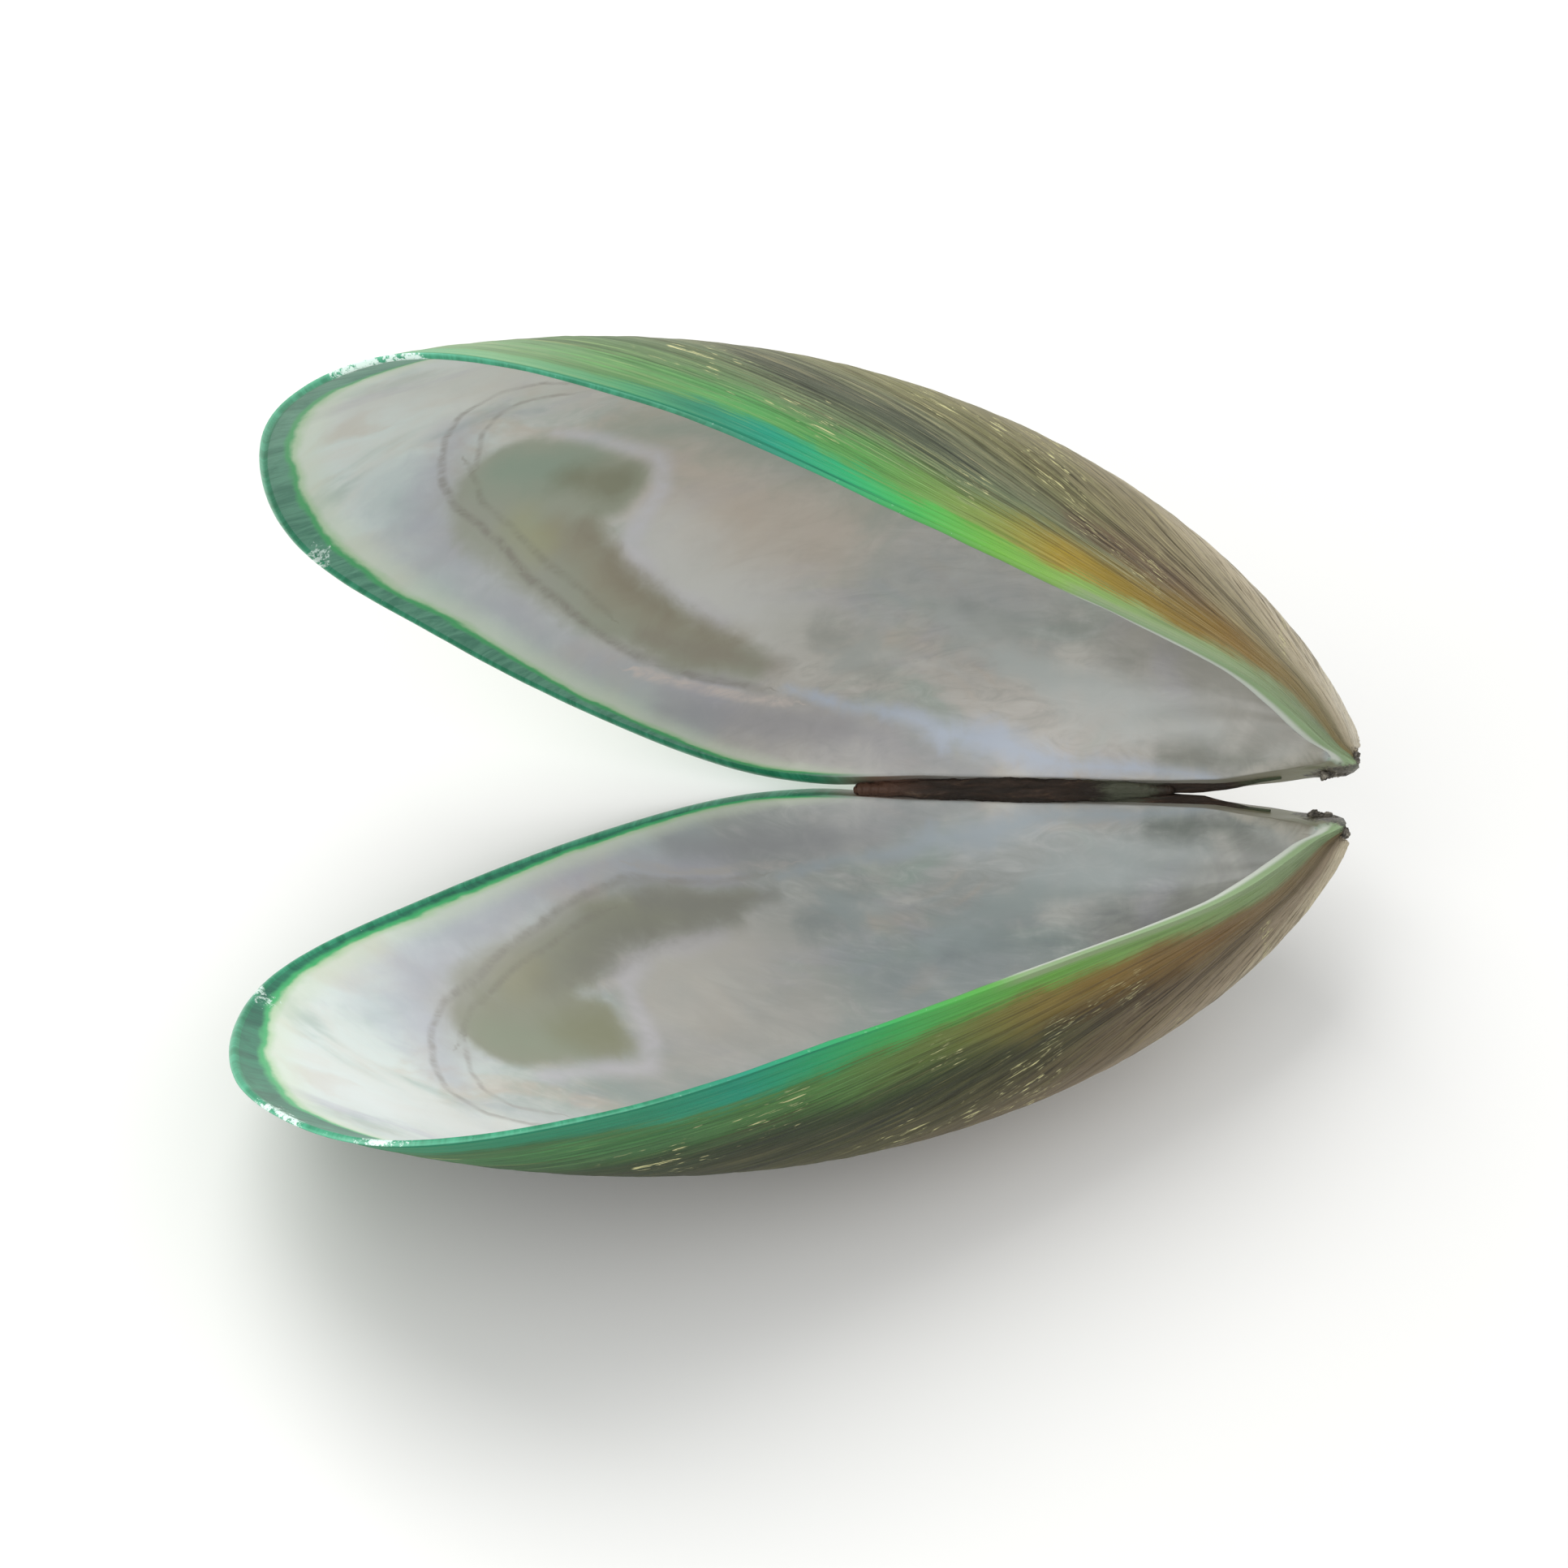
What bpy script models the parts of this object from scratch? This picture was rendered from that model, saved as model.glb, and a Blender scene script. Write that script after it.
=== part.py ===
"""An empty green-lipped mussel shell, 109 mm long, gaping on its ligament and lying on its left valve.

Each valve is a loft of its own growth stages. The margin at any age is today's margin drawn in
towards the growth centre and turned about the coil axis, so the rings of the mesh are the growth
lines of the shell. The inside is the same surface drawn in a little more, which leaves a thin wall
at the rear, a thick one at the beak and a broad rim along the hinge.

Valve frame: a runs from the beak along the hinge towards the rear, s from the hinge side to the
front side, d is the depth outwards. All three are in millimetres.
Hinge frame: X runs along the hinge to the beaks, Y towards the right valve, Z into the gape.
"""

import math

import bmesh
import bpy
import numpy as np
from mathutils import Euler, Matrix

MM = 0.001

# The margin of one valve (a, s), seen square to the plane where the two valves meet.
MARGIN = (
    (0.7, -0.2),  # beak
    (10.6, -5.4),  # hinge side, under the ligament
    (26.4, -6.2),
    (40.8, -6.4),
    (52.5, -4.3),  # rear end of the hinge
    (63.8, 4.0),
    (77.9, 19.3),
    (90.7, 38.4),  # rear end
    (91.2, 58.9),
    (79.8, 70.2),
    (61.5, 63.8),  # front side, where the byssus came out
    (42.3, 47.7),
    (25.7, 32.2),
    (12.0, 18.7),
    (3.3, 4.9),
)

# Growth
GROWTH_CENTRE = (1.26, 0.82, 0.0)
COIL_POINT = (-0.84, -0.54, 0.0)
COIL_AXIS_ANGLE = math.radians(75.0)
COIL_ANGLE = math.radians(68.9)
FIRST_GROWTH = 0.015
LEFT_VALVE_DEPTH = 0.90

# Wall
CAVITY_CENTRE = (70.0, 46.0)
CAVITY_SIZE = 0.965
CAVITY_DEPTH = 0.915
FIRST_CAVITY_GROWTH = 0.015

# Seat of the ligament: how far the rims stand back from each other along the hinge, and at the beak.
SEAT_FRONT = 12.5
SEAT_REAR = 45.0
SEAT_DEPTH = 1.25
SEAT_RUN_OUT = 4.0
SEAT_FADE = 2.5
BEAK_SEAT = (1.0, 3.5, 7.5, 13.0)
BEAK_SEAT_DEPTH = 0.55
HINGE_SIDE = (-3.0, 5.0)

# Ligament
LIGAMENT_FRONT = 16.2
LIGAMENT_REAR = 42.2
LIGAMENT_PROUD_OUTSIDE = 0.6
LIGAMENT_PROUD_INSIDE = 0.5
LIGAMENT_END = 0.97
LIGAMENT_SQUARENESS = 0.6
THINNEST_LIGAMENT = 0.1
GAP = 0.34  # measured sideways, about 0.3 mm square to the rims

# Pose of the valves on the hinge, and of the whole shell on the ground.
RIGHT_VALVE_TURNS = Euler((math.radians(-25.0), math.radians(0.7), math.radians(-1.3)), "YZX")
LEFT_VALVE_TURNS = Euler((math.radians(21.4), math.radians(-0.7), math.radians(-0.7)), "YZX")
BEAK_OFFSET = (0.5, 2.15, 0.0)
RESTING_ROLL = math.radians(27.4)
RESTING_LEAN = math.radians(42.6)
RESTING_HEADING = math.radians(-50.0)
RESTING_PLACE = (54.26, -13.17, 20.43)

# Mesh density
STEPS_BETWEEN_CORNERS = 24
AROUND = 64
OUTER_RINGS = 18
INNER_RINGS = 14
LIGAMENT_AROUND = 14
LIGAMENT_RINGS = 21


def smooth_loop(corners, count):
    """Points evenly spaced along a smooth closed curve through the corners."""
    corners = np.array(corners)
    following = np.roll(corners, -1, axis=0)
    gap = np.sqrt(np.linalg.norm(following - corners, axis=1))[:, None]
    slope = (following - np.roll(corners, 1, axis=0)) / (gap + np.roll(gap, 1, axis=0))
    leaving = slope * gap
    arriving = np.roll(slope, -1, axis=0) * gap
    steps = np.linspace(0.0, 1.0, STEPS_BETWEEN_CORNERS, endpoint=False)[:, None, None]
    curve = (
        (1 + 2 * steps) * (1 - steps) ** 2 * corners
        + steps * (1 - steps) ** 2 * leaving
        + steps**2 * (3 - 2 * steps) * following
        - steps**2 * (1 - steps) * arriving
    )
    curve = curve.transpose(1, 0, 2).reshape(-1, 2)
    closed = np.vstack((curve, curve[:1]))
    length = np.append(0.0, np.cumsum(np.linalg.norm(np.diff(closed, axis=0), axis=1)))
    places = np.linspace(0.0, length[-1], count, endpoint=False)
    return np.column_stack([np.interp(places, length, closed[:, i]) for i in range(2)])


def smooth_step(low, high, values):
    """0 up to low, 1 from high on, with no corner between."""
    t = np.clip((values - low) / (high - low), 0.0, 1.0)
    return t * t * (3 - 2 * t)


def growth_stage(margin, growth):
    """The margin in (a, s, d) when the shell was this fraction of its present size."""
    flat = np.column_stack((margin, np.zeros(len(margin))))
    small = GROWTH_CENTRE + growth * (flat - GROWTH_CENTRE)
    turn = COIL_ANGLE * (1 - math.sqrt(growth))
    axis = np.array((math.cos(COIL_AXIS_ANGLE), -math.sin(COIL_AXIS_ANGLE), 0.0))
    across = np.array((-axis[1], axis[0], 0.0))
    outwards = np.array((0.0, 0.0, 1.0))
    arm = small - COIL_POINT
    along = (arm @ axis)[:, None] * axis
    reach = (arm @ across)[:, None]
    return COIL_POINT + along + reach * (math.cos(turn) * across + math.sin(turn) * outwards)


def inside_of(points):
    """The inner face of the wall that has these points on its outer face."""
    centre = np.array((*CAVITY_CENTRE, 0.0))
    return centre + (points - centre) * (CAVITY_SIZE, CAVITY_SIZE, CAVITY_DEPTH)


def seat_depth(a):
    """How far the rim stands off the plane where the valves meet, at this place along the hinge."""
    rise = smooth_step(SEAT_FRONT, SEAT_FRONT + SEAT_RUN_OUT, a)
    fall = 1 - smooth_step(SEAT_REAR - SEAT_RUN_OUT, SEAT_REAR, a)
    at_beak = smooth_step(*BEAK_SEAT[:2], a) * (1 - smooth_step(*BEAK_SEAT[2:], a))
    return SEAT_DEPTH * rise * fall + BEAK_SEAT_DEPTH * at_beak


def with_seat(points):
    """The same points with the rim lifted along the hinge to make room for the ligament."""
    a, s, d = points.T
    near_hinge = 1 - smooth_step(*HINGE_SIDE, s)
    near_rim = np.exp(-((d / SEAT_FADE) ** 2))
    return np.column_stack((a, s, d + seat_depth(a) * near_hinge * near_rim))


def valve_rings():
    """Closed rings from the beak over the outside to the rim, and over the inside back to the beak."""
    margin = smooth_loop(MARGIN, AROUND)
    outer = np.linspace(math.sqrt(FIRST_GROWTH), 1.0, OUTER_RINGS) ** 2
    inner = np.linspace(1.0, math.sqrt(FIRST_CAVITY_GROWTH), INNER_RINGS) ** 2
    rings = [with_seat(growth_stage(margin, growth)) for growth in outer]
    rings += [with_seat(inside_of(growth_stage(margin, growth))) for growth in inner]
    return rings


def loft(name, rings, collection):
    """A closed body through rings of equal count, with a fan at each end."""
    mesh = bpy.data.meshes.new(name)
    body = bmesh.new()
    loops = [[body.verts.new(point) for point in ring] for ring in rings]
    for ring, following in zip(loops, loops[1:]):
        for i in range(len(ring)):
            j = (i + 1) % len(ring)
            body.faces.new((ring[i], ring[j], following[j], following[i]))
    for ring in (loops[0], loops[-1]):
        middle = sum((vert.co for vert in ring[1:]), ring[0].co.copy()) / len(ring)
        centre = body.verts.new(middle)
        for i in range(len(ring)):
            body.faces.new((ring[i], ring[(i + 1) % len(ring)], centre))
    bmesh.ops.recalc_face_normals(body, faces=body.faces)
    body.to_mesh(mesh)
    body.free()
    mesh.shade_smooth()
    mesh.set_sharp_from_angle(angle=math.radians(50))
    part = bpy.data.objects.new(name, mesh)
    collection.objects.link(part)
    return part


def material(name, colour, roughness):
    """A plain Principled material."""
    made = bpy.data.materials.new(name)
    made.use_nodes = True
    shader = made.node_tree.nodes["Principled BSDF"]
    shader.inputs["Base Color"].default_value = (*colour, 1.0)
    shader.inputs["Roughness"].default_value = roughness
    shader.inputs["Metallic"].default_value = 0.0
    return made


def make_valve(name, side, depth, turns, rest, collection):
    """One valve: side is 1 for the right one and -1 for the left, its mirror image."""
    to_valve = np.array((-1.0, side * depth, 1.0)) * MM
    rings = [ring[:, (0, 2, 1)] * to_valve for ring in valve_rings()]
    valve = loft(name, rings, collection)
    valve.parent = rest
    valve.rotation_mode = "YZX"
    valve.rotation_euler = turns
    valve.location = [side * value * MM for value in BEAK_OFFSET]
    return valve


def hinge_rims(side, depth, turns, stations):
    """The outer and inner edges of one valve's rim at places along the hinge, as (Y, Z) in mm."""
    margin = smooth_loop(MARGIN, 8 * AROUND)
    flat = np.column_stack((margin, np.zeros(len(margin))))
    turned = np.array(turns.to_matrix())
    a = stations + side * BEAK_OFFSET[0]
    edges = []
    for edge in (flat, inside_of(flat)):
        hinge_side = edge[(edge[:, 1] < edge[0, 1] + 0.01) & (edge[:, 0] < CAVITY_CENTRE[0])]
        order = np.argsort(hinge_side[:, 0])
        s = np.interp(a, hinge_side[order, 0], hinge_side[order, 1])
        local = np.column_stack((-a, side * depth * seat_depth(a), s))
        edges.append((local @ turned.T + side * np.array(BEAK_OFFSET))[:, 1:])
    return edges


def ligament_rings():
    """Wedge-shaped sections that fill the seat, with the gap kept to both rims."""
    middle = (LIGAMENT_FRONT + LIGAMENT_REAR) / 2
    half_length = (LIGAMENT_REAR - LIGAMENT_FRONT) / 2
    along = np.sin(np.linspace(-LIGAMENT_END, LIGAMENT_END, LIGAMENT_RINGS) * math.pi / 2)
    stations = middle + half_length * along
    fullness = np.sqrt(1 - along**2)
    right = hinge_rims(1, 1.0, RIGHT_VALVE_TURNS, stations)
    left = hinge_rims(-1, LEFT_VALVE_DEPTH, LEFT_VALVE_TURNS, stations)
    rings = []
    for i, station in enumerate(stations):
        outer_middle = (right[0][i] + left[0][i]) / 2
        inner_middle = (right[1][i] + left[1][i]) / 2
        outer_room = (right[0][i][0] - left[0][i][0]) / 2 - GAP
        inner_room = (right[1][i][0] - left[1][i][0]) / 2 - GAP
        outer_half = max(outer_room, THINNEST_LIGAMENT) * fullness[i]
        inner_half = max(inner_room, THINNEST_LIGAMENT) * fullness[i]
        low = outer_middle[1] - LIGAMENT_PROUD_OUTSIDE * fullness[i]
        high = inner_middle[1] + LIGAMENT_PROUD_INSIDE * fullness[i]
        ring = []
        for angle in np.linspace(0.0, 2 * math.pi, LIGAMENT_AROUND, endpoint=False):
            sideways = math.copysign(abs(math.sin(angle)) ** LIGAMENT_SQUARENESS, math.sin(angle))
            z = low + (high - low) * (1 - math.cos(angle)) / 2
            share = (z - outer_middle[1]) / (inner_middle[1] - outer_middle[1])
            half = outer_half + share * (inner_half - outer_half)
            centre = outer_middle[0] + share * (inner_middle[0] - outer_middle[0])
            ring.append((-station, centre + half * sideways, z))
        rings.append(np.array(ring) * MM)
    return rings


def main():
    for thing in list(bpy.data.objects):
        bpy.data.objects.remove(thing)

    collection = bpy.data.collections.new("mussel_shell")
    bpy.context.scene.collection.children.link(collection)

    rest = bpy.data.objects.new("resting_pose", None)
    lean = Matrix.Rotation(RESTING_LEAN, 4, "X")
    roll = Matrix.Rotation(RESTING_ROLL, 4, "Z")
    heading = Matrix.Rotation(RESTING_HEADING, 4, "Z")
    place = Matrix.Translation([value * MM for value in RESTING_PLACE])
    rest.matrix_world = place @ heading @ lean @ roll
    collection.objects.link(rest)

    right = make_valve("right_valve", 1, 1.0, RIGHT_VALVE_TURNS, rest, collection)
    left = make_valve("left_valve", -1, LEFT_VALVE_DEPTH, LEFT_VALVE_TURNS, rest, collection)
    ligament = loft("ligament", ligament_rings(), collection)
    ligament.parent = rest

    right.data.materials.append(material("olive_green_shell", (0.16, 0.20, 0.10), 0.45))
    left.data.materials.append(material("dark_green_shell", (0.12, 0.16, 0.08), 0.45))
    ligament.data.materials.append(material("dark_brown_ligament", (0.07, 0.03, 0.02), 0.6))


main()
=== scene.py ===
"""An empty green-lipped mussel shell, 109 mm long, gaping on its ligament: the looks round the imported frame.

Valve frame: a runs from the beak along the hinge towards the rear, s from the hinge side to the
front side, d is the depth outwards, all in millimetres.
Hinge frame: X runs along the hinge to the beaks, Y towards the right valve, Z into the gape.
"""

import functools
import math

import bmesh
import bpy
import numpy as np
from bpy.props import FloatProperty, FloatVectorProperty, IntProperty, PointerProperty
from mathutils import Color, Euler, Matrix, Vector


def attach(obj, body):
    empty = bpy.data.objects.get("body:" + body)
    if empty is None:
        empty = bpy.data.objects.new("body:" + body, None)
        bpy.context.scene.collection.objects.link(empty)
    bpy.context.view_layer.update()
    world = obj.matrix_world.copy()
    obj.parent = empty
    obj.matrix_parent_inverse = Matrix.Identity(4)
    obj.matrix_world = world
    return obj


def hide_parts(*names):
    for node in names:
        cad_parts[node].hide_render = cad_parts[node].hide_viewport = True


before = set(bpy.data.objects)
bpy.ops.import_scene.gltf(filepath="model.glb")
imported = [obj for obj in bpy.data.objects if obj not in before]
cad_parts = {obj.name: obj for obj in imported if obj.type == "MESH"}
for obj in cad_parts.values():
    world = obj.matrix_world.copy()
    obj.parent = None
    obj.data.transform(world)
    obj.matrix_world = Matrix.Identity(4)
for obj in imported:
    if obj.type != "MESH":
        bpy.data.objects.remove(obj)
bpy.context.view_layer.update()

bl_info = {
    "name": "Mussel Shell",
    "version": (1, 0, 0),
    "blender": (4, 5, 0),
    "location": "View3D > Sidebar > Mussel Shell",
    "description": "Builds a gaping green-lipped mussel shell: two nacre-lined valves on a dried ligament",
    "category": "Add Mesh",
}

MM = 0.001

# The margin of one valve (a, s), seen square to the plane where the two valves meet.
MARGIN = (
    (0.7, -0.2),  # beak
    (10.6, -5.4),  # hinge side, under the ligament
    (26.4, -6.2),
    (40.8, -6.4),
    (52.5, -4.3),  # rear end of the hinge
    (63.8, 4.0),
    (77.9, 19.3),
    (90.7, 38.4),  # rear end
    (91.2, 58.9),
    (79.8, 70.2),
    (61.5, 63.8),  # front side, where the byssus came out
    (42.3, 47.7),
    (25.7, 32.2),
    (12.0, 18.7),
    (3.3, 4.9),
)
MARGIN_STEPS = 24
MARGIN_POINTS = 720
MARGIN_MIDDLE = (46.0, 29.0, 0.0)

# Growth: the margin at any age is today's margin drawn in and turned about the coil axis.
GROWTH_CENTRE = (1.26, 0.82, 0.0)
COIL_POINT = (-0.84, -0.54, 0.0)
COIL_AXIS_ANGLE = math.radians(75.0)
COIL_AXIS = (math.cos(COIL_AXIS_ANGLE), -math.sin(COIL_AXIS_ANGLE), 0.0)
COIL_ANGLE = math.radians(68.9)
FIRST_GROWTH = 0.015
LAST_GROWTH = 0.995
CAP_SHARE = 0.02
CAVITY_CENTRE = (70.0, 46.0, 0.0)
CAVITY_SHRINK = (0.965, 0.965, 0.915)

# Seat of the ligament: how far the rims stand back from each other along the hinge, and at the beak.
# The solids' seat is deeper, for their clearance; here the rims grip the ligament.
SEAT_FRONT = (6.0, 15.0)
SEAT_REAR = (47.0, 37.0)
SEAT_DEPTH = 0.6
SEAT_FADE = 2.5
BEAK_SEAT = (1.0, 3.5, 7.5, 13.0)
BEAK_SEAT_DEPTH = 0.55
HINGE_SIDE = (-3.0, 5.0)

# Pose of the valves on the hinge, and of the whole shell on the ground, as in the solids.
VALVES = {
    "right": (1, 1.0, Euler([math.radians(v) for v in (-25.0, 0.7, -1.3)], "YZX")),
    "left": (-1, 0.9, Euler([math.radians(v) for v in (21.4, -0.7, -0.7)], "YZX")),
}
BEAK_OFFSET = Vector((0.5, 2.15, 0.0))
HINGE_TO_ROW = (
    Matrix.Translation(Vector((54.26, -13.17, 20.43)) * MM)
    @ Matrix.Rotation(math.radians(-50.0), 4, "Z")
    @ Matrix.Rotation(math.radians(42.6), 4, "X")
    @ Matrix.Rotation(math.radians(27.4), 4, "Z")
)

# How the rings of the valve mesh are shared out, from the pole outside to the pole inside.
SEGMENTS = 256
RINGS = 386
OUTER_RINGS = 228
RIM_RINGS = 12

# The photo's camera, in the hinge frame, and the floor and the lights, in metres.
CAMERA_PLACE = (-49.3, 0.99, 560.0)
CAMERA_LENS = 149.07
FLOOR_HALF_SIZE = 2.5
LAMP_SIZE = 0.6
LAMP_DISTANCE = 0.9
LAMP_AIM = (0.0, 0.0, 0.03)

# Marks on the nacre, from the first laid to the last: colours on the right and the left valve, cover,
# softness and raggedness in millimetres, and one or more strokes of (a, s, half width).
NACRE_MARKS = {
    "rear_blue": ("#bcc8cb", "#c8d0d6", 0.6, 4.0, 6.0, ((82, 38, 2), (79, 26, 2))),
    "rear_green": ("#bad0c2", "#b9ccc6", 0.65, 3.5, 5.0, ((79, 24, 2), (70, 12.5, 1.8), (58, 2.5, 1))),
    "rear_lilac": (
        "#b9b5c0", "#bab8c4", 0.6, 3.0, 3.0,
        ((77, 43, 1), (79.5, 33, 1.5), (76, 24, 1.5), (66, 12, 1), (56, 4, 1)),
    ),
    "front_white": ("#d3d1ca", "#e2e6e4", 0.7, 5.0, 4.0, ((84, 54, 2), (74, 52, 2), (64, 44, 1))),
    "body_pink": ("#cdbfb0", "#b8b4ad", 0.7, 7.0, 9.0, ((61, 32, 3), (54, 21, 5), (46, 16, 4))),
    # A grey-green arch on the body, darkened near the front rim by painted shade.
    "body_green_and_shade": (
        "#8fa699", "#90a2a0", 0.55, 3.5, 6.0, ((64, 35, 0.6), (57, 31, 1.2), (50, 25, 1.6), (42, 18, 1.2)),
    ),
    "body_blue": ("#a3abac", "#8c999c", 0.55, 6.0, 9.0, ((39, 10, 3), (31, 6, 3))),
    # Painted sheen: a pale gleam on the nacre along the scar's narrow tail, painted into its colour.
    "neck_painted_sheen": ("#dad8d3", "#c4c0b9", 0.9, 4.5, 4.0, ((61, 20, 2.0), (57, 13, 2.4), (50, 8.5, 1.6))),
    "low_pale": ("#c0bdb3", "#a6a9a6", 0.5, 3.0, 4.0, ((50, 8, 1.0), (44, 4.5, 1.2), (40, 3.0, 0.8))),
    "hinge_lilac": (
        "#a6a3a9", "#98989c", 0.7, 2.2, 2.5,
        ((60, 4.5, 1), (53, 0.8, 1.2), (46, -1.8, 1.2), (38, -3.8, 0.8), (32, -4.6, 0.4)),
    ),
    "feather_shade": (
        "#8f938d", "#7f8a8c", 0.45, 1.8, 6.0, ((47, 6.5, 0.5), (42, 1.5, 0.6)),
        ((34.5, 6.5, 0.4), (28.5, 1.6, 0.5)), ((26, 4.5, 0.5), (20, 1.5, 0.6)),
    ),
    "feather": (
        "#c3c6c2", "#aab5b6", 0.5, 1.5, 5.0, ((45.5, 3.6, 0.6), (40.5, 3.2, 0.7)),
        ((36, 5.5, 0.4), (30.5, 1.0, 0.9)), ((33, 5.0, 0.3), (27, -0.5, 0.6)),
    ),
    # Pale nacre along the ledge by the hinge, lightened further by a painted highlight along the ridge.
    "hinge_pale_and_highlight": (
        "#c6cfdf", "#a9b3ba", 0.9, 0.8, 1.6,
        (
            (50, 2.6, 0.0), (44.5, -0.6, 0.1), (36, -3.1, 0.3), (30.5, -3.4, 0.5), (26, -3.8, 0.2),
            (12, -3.6, 0.0),
        ),
    ),
    "fan_pale": (
        "#c3c8c5", "#a3adac", 0.75, 1.4, 2.4,
        ((31, 1.5, 0.8), (26.4, -0.6, 0.9), (19.4, -1.2, 0.6), (12.4, -0.9, 0.3)),
    ),
    "beak_smudge": (
        "#7f8277", "#5f6a62", 0.7, 1.0, 1.6, ((17, -2.9, 0.3), (12, -2.4, 0.5), (8.5, -1.6, 0.3)),
    ),
    "scar_edge": (
        "#d8d5db", "#cfcbd0", 0.75, 1.3, 1.6,
        (
            (69, 37, 0.4), (60.8, 29, 0.5), (60.6, 25, 0.6), (63.2, 21, 0.6), (61.5, 16, 0.6),
            (55.5, 10, 0.4),
        ),
    ),
    "scar": (
        "#a9ad9b", "#9d9d8b", 0.95, 1.2, 1.6, ((72.8, 32.5, 4.8), (65.0, 27.3, 3.1)),
        ((72.5, 30.5, 4.8), (69.5, 24.5, 3.4), (66.0, 17.6, 2.3), (58.3, 9.4, 1.7), (52.5, 5.2, 0.9)),
    ),
    "scar_haze": (
        "#b3b2a8", "#bdbcb6", 0.55, 2.2, 3.5,
        ((78, 34, 0.6), (76.3, 29.8, 0.8), (72.4, 23.8, 0.6), (68, 17.6, 0.4)),
        ((76, 38, 0.6), (77.5, 34, 0.6)),
    ),
    "scar_green": ("#97ab99", "#9ba38f", 0.7, 2.5, 3.0, ((73, 34, 1.5), (68, 31, 1.6))),
    "scar_olive": ("#8f8f77", "#94957b", 0.85, 2.2, 2.8, ((68, 30.0, 0.8), (64.4, 27.4, 1.6))),
    "scar_brown": (
        "#a39984", "#8f8f83", 0.7, 2.0, 2.6,
        ((69.5, 25.5, 0.6), (67, 22, 1.0), (65, 18.2, 1.2), (60, 11.8, 1.0), (54.6, 7.9, 0.6)),
    ),
    "scar_ridge": (
        "#928673", "#8a8980", 0.55, 1.2, 1.8,
        ((67.4, 24.6, 0.3), (65.0, 20.8, 0.6), (63.6, 17.6, 0.6), (59.2, 12.2, 0.3), (54, 8.0, 0.1)),
    ),
    "scar_tail": (
        "#9c9384", "#8f8e88", 0.75, 1.4, 1.8, ((62, 12, 0.5), (57.5, 8.6, 0.8), (50.5, 4.4, 0.4)),
    ),
    "scar_yellow": ("#b7b583", "#a6a183", 0.5, 2.4, 2.0, ((72.4, 27.4, 0.5), (70.6, 24.6, 0.5))),
    "beak_shade": ("#a8a49a", "#777871", 0.75, 5.0, 4.0, ((20, 4, 1), (14, 4, 3), (7, 2, 2))),
    "beak_plate": (
        "#85816f", "#817d6c", 0.9, 0.5, 0.5,
        ((9.0, -3.4, 0.4), (6.5, -2.2, 1.0), (4.6, -0.9, 1.1), (3.0, 0.6, 0.9)),
    ),
    "beak_white": (
        "#c2c9c8", "#c9cec6", 0.75, 0.5, 1.2, ((6.0, 5.4, 0.2), (4.4, 3.4, 0.4), (3.0, 2.2, 0.6)),
    ),
    "beak_teal": ("#5f8672", "#4f9079", 0.8, 0.4, 1.0, ((2.4, 1.0, 0.4), (1.5, 0.4, 0.4))),
}
# Fine lines on the nacre: colours on the right and the left valve, cover, half width, and points (a, s).
NACRE_LINES = {
    "pallial_line": (
        "#8b8279", "#958f89", 0.55, 0.18,
        (
            (64.5, 43.0), (69.8, 46.8), (73.4, 47.2), (76.6, 45.4), (78.0, 42.0), (78.5, 37.0),
            (77.6, 32.6), (75.5, 29.2), (72.2, 23.4), (68.2, 17.3), (63.1, 10.9), (57.5, 6.4), (52.0, 3.2),
        ),
    ),
    "inner_line": (
        "#928980", "#97908a", 0.5, 0.12,
        ((68.0, 43.0), (71.4, 43.9), (73.6, 43.0), (75.0, 40.6), (75.6, 36.6)),
    ),
    "scar_line": (
        "#8f897a", "#8d8a7f", 0.45, 0.12,
        ((76.2, 37.0), (75.2, 31.5), (72.4, 26.4), (68.6, 20.6), (64.8, 15.4)),
    ),
    "pink_line": ("#dccfc8", "#b9b5b2", 0.9, 0.3, ((62.5, 9.2), (57.5, 5.4), (53.5, 3.0), (49.5, 1.2))),
    "plate_line": (
        "#bdb9ae", "#b2aea2", 0.9, 0.22, ((10.5, -3.2), (7.9, -1.9), (6.2, -0.8), (4.5, 0.6), (3.7, 1.7)),
    ),
}
# On the left valve the marks lie this much nearer the hinge and the beak, growing from one a to another,
# and the scar is this much narrower.
LEFT_MARK_DRIFT = (3.2, 54.0, 66.0)
LEFT_MARK_SHIFT = (1.2, 40.0, 55.0)
LEFT_SCAR_NARROWING = 0.6
# Relief of the marks: the scar is sunk, with a slope at its edge, and the line round it stands up.
SCAR_SINK = 0.10
SCAR_SLOPE = 0.8
LINE_RISE = 0.12
LINE_WIDTH = 0.7

# Strokes of (a, s, d, half width): patches of darker skin outside, on the left valve darker still as painted
# shade, the gnarled beak and the rim's chips.
DUSK_PATCHES = {
    "right": (
        ((54, 52.5, 11.5, 0.8), (48.4, 49.3, 9.9, 1.6), (40.6, 44.0, 8.7, 1.4), (35, 39, 7.8, 0.2)),
        ((26.5, 31, 7.6, 0.2), (22, 26.5, 7.4, 1.0), (16, 20.6, 6.2, 0.9), (10, 14.8, 3.5, 0.2)),
    ),
    "left": (((26.5, 31.5, 5.6, 0.4), (21.5, 26.2, 6.2, 1.7), (15.5, 19.7, 6.2, 1.0)),),
}
GNARL = (((0.6, 0.5, 0.6, 1.2), (2.4, -1.0, 0.5, 1.0), (4.4, -2.4, 0.3, 0.4)),)
CHIPS = {
    "right": (((84.5, 67, 0, 1.2), (79, 69.5, 0, 1.0)), ((88.7, 35.6, 0, 0.8), (88.2, 34.8, 0, 0.8))),
    "left": (
        ((90.7, 41.0, 0, 1.0), (89.8, 42.0, 2, 0.6)), ((88.0, 63.0, 0, 0.9), (85.6, 65.8, 0, 0.9)),
        ((79.5, 69.6, 0, 0.9), (77.8, 69.8, 0, 0.9)),
    ),
}

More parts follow.
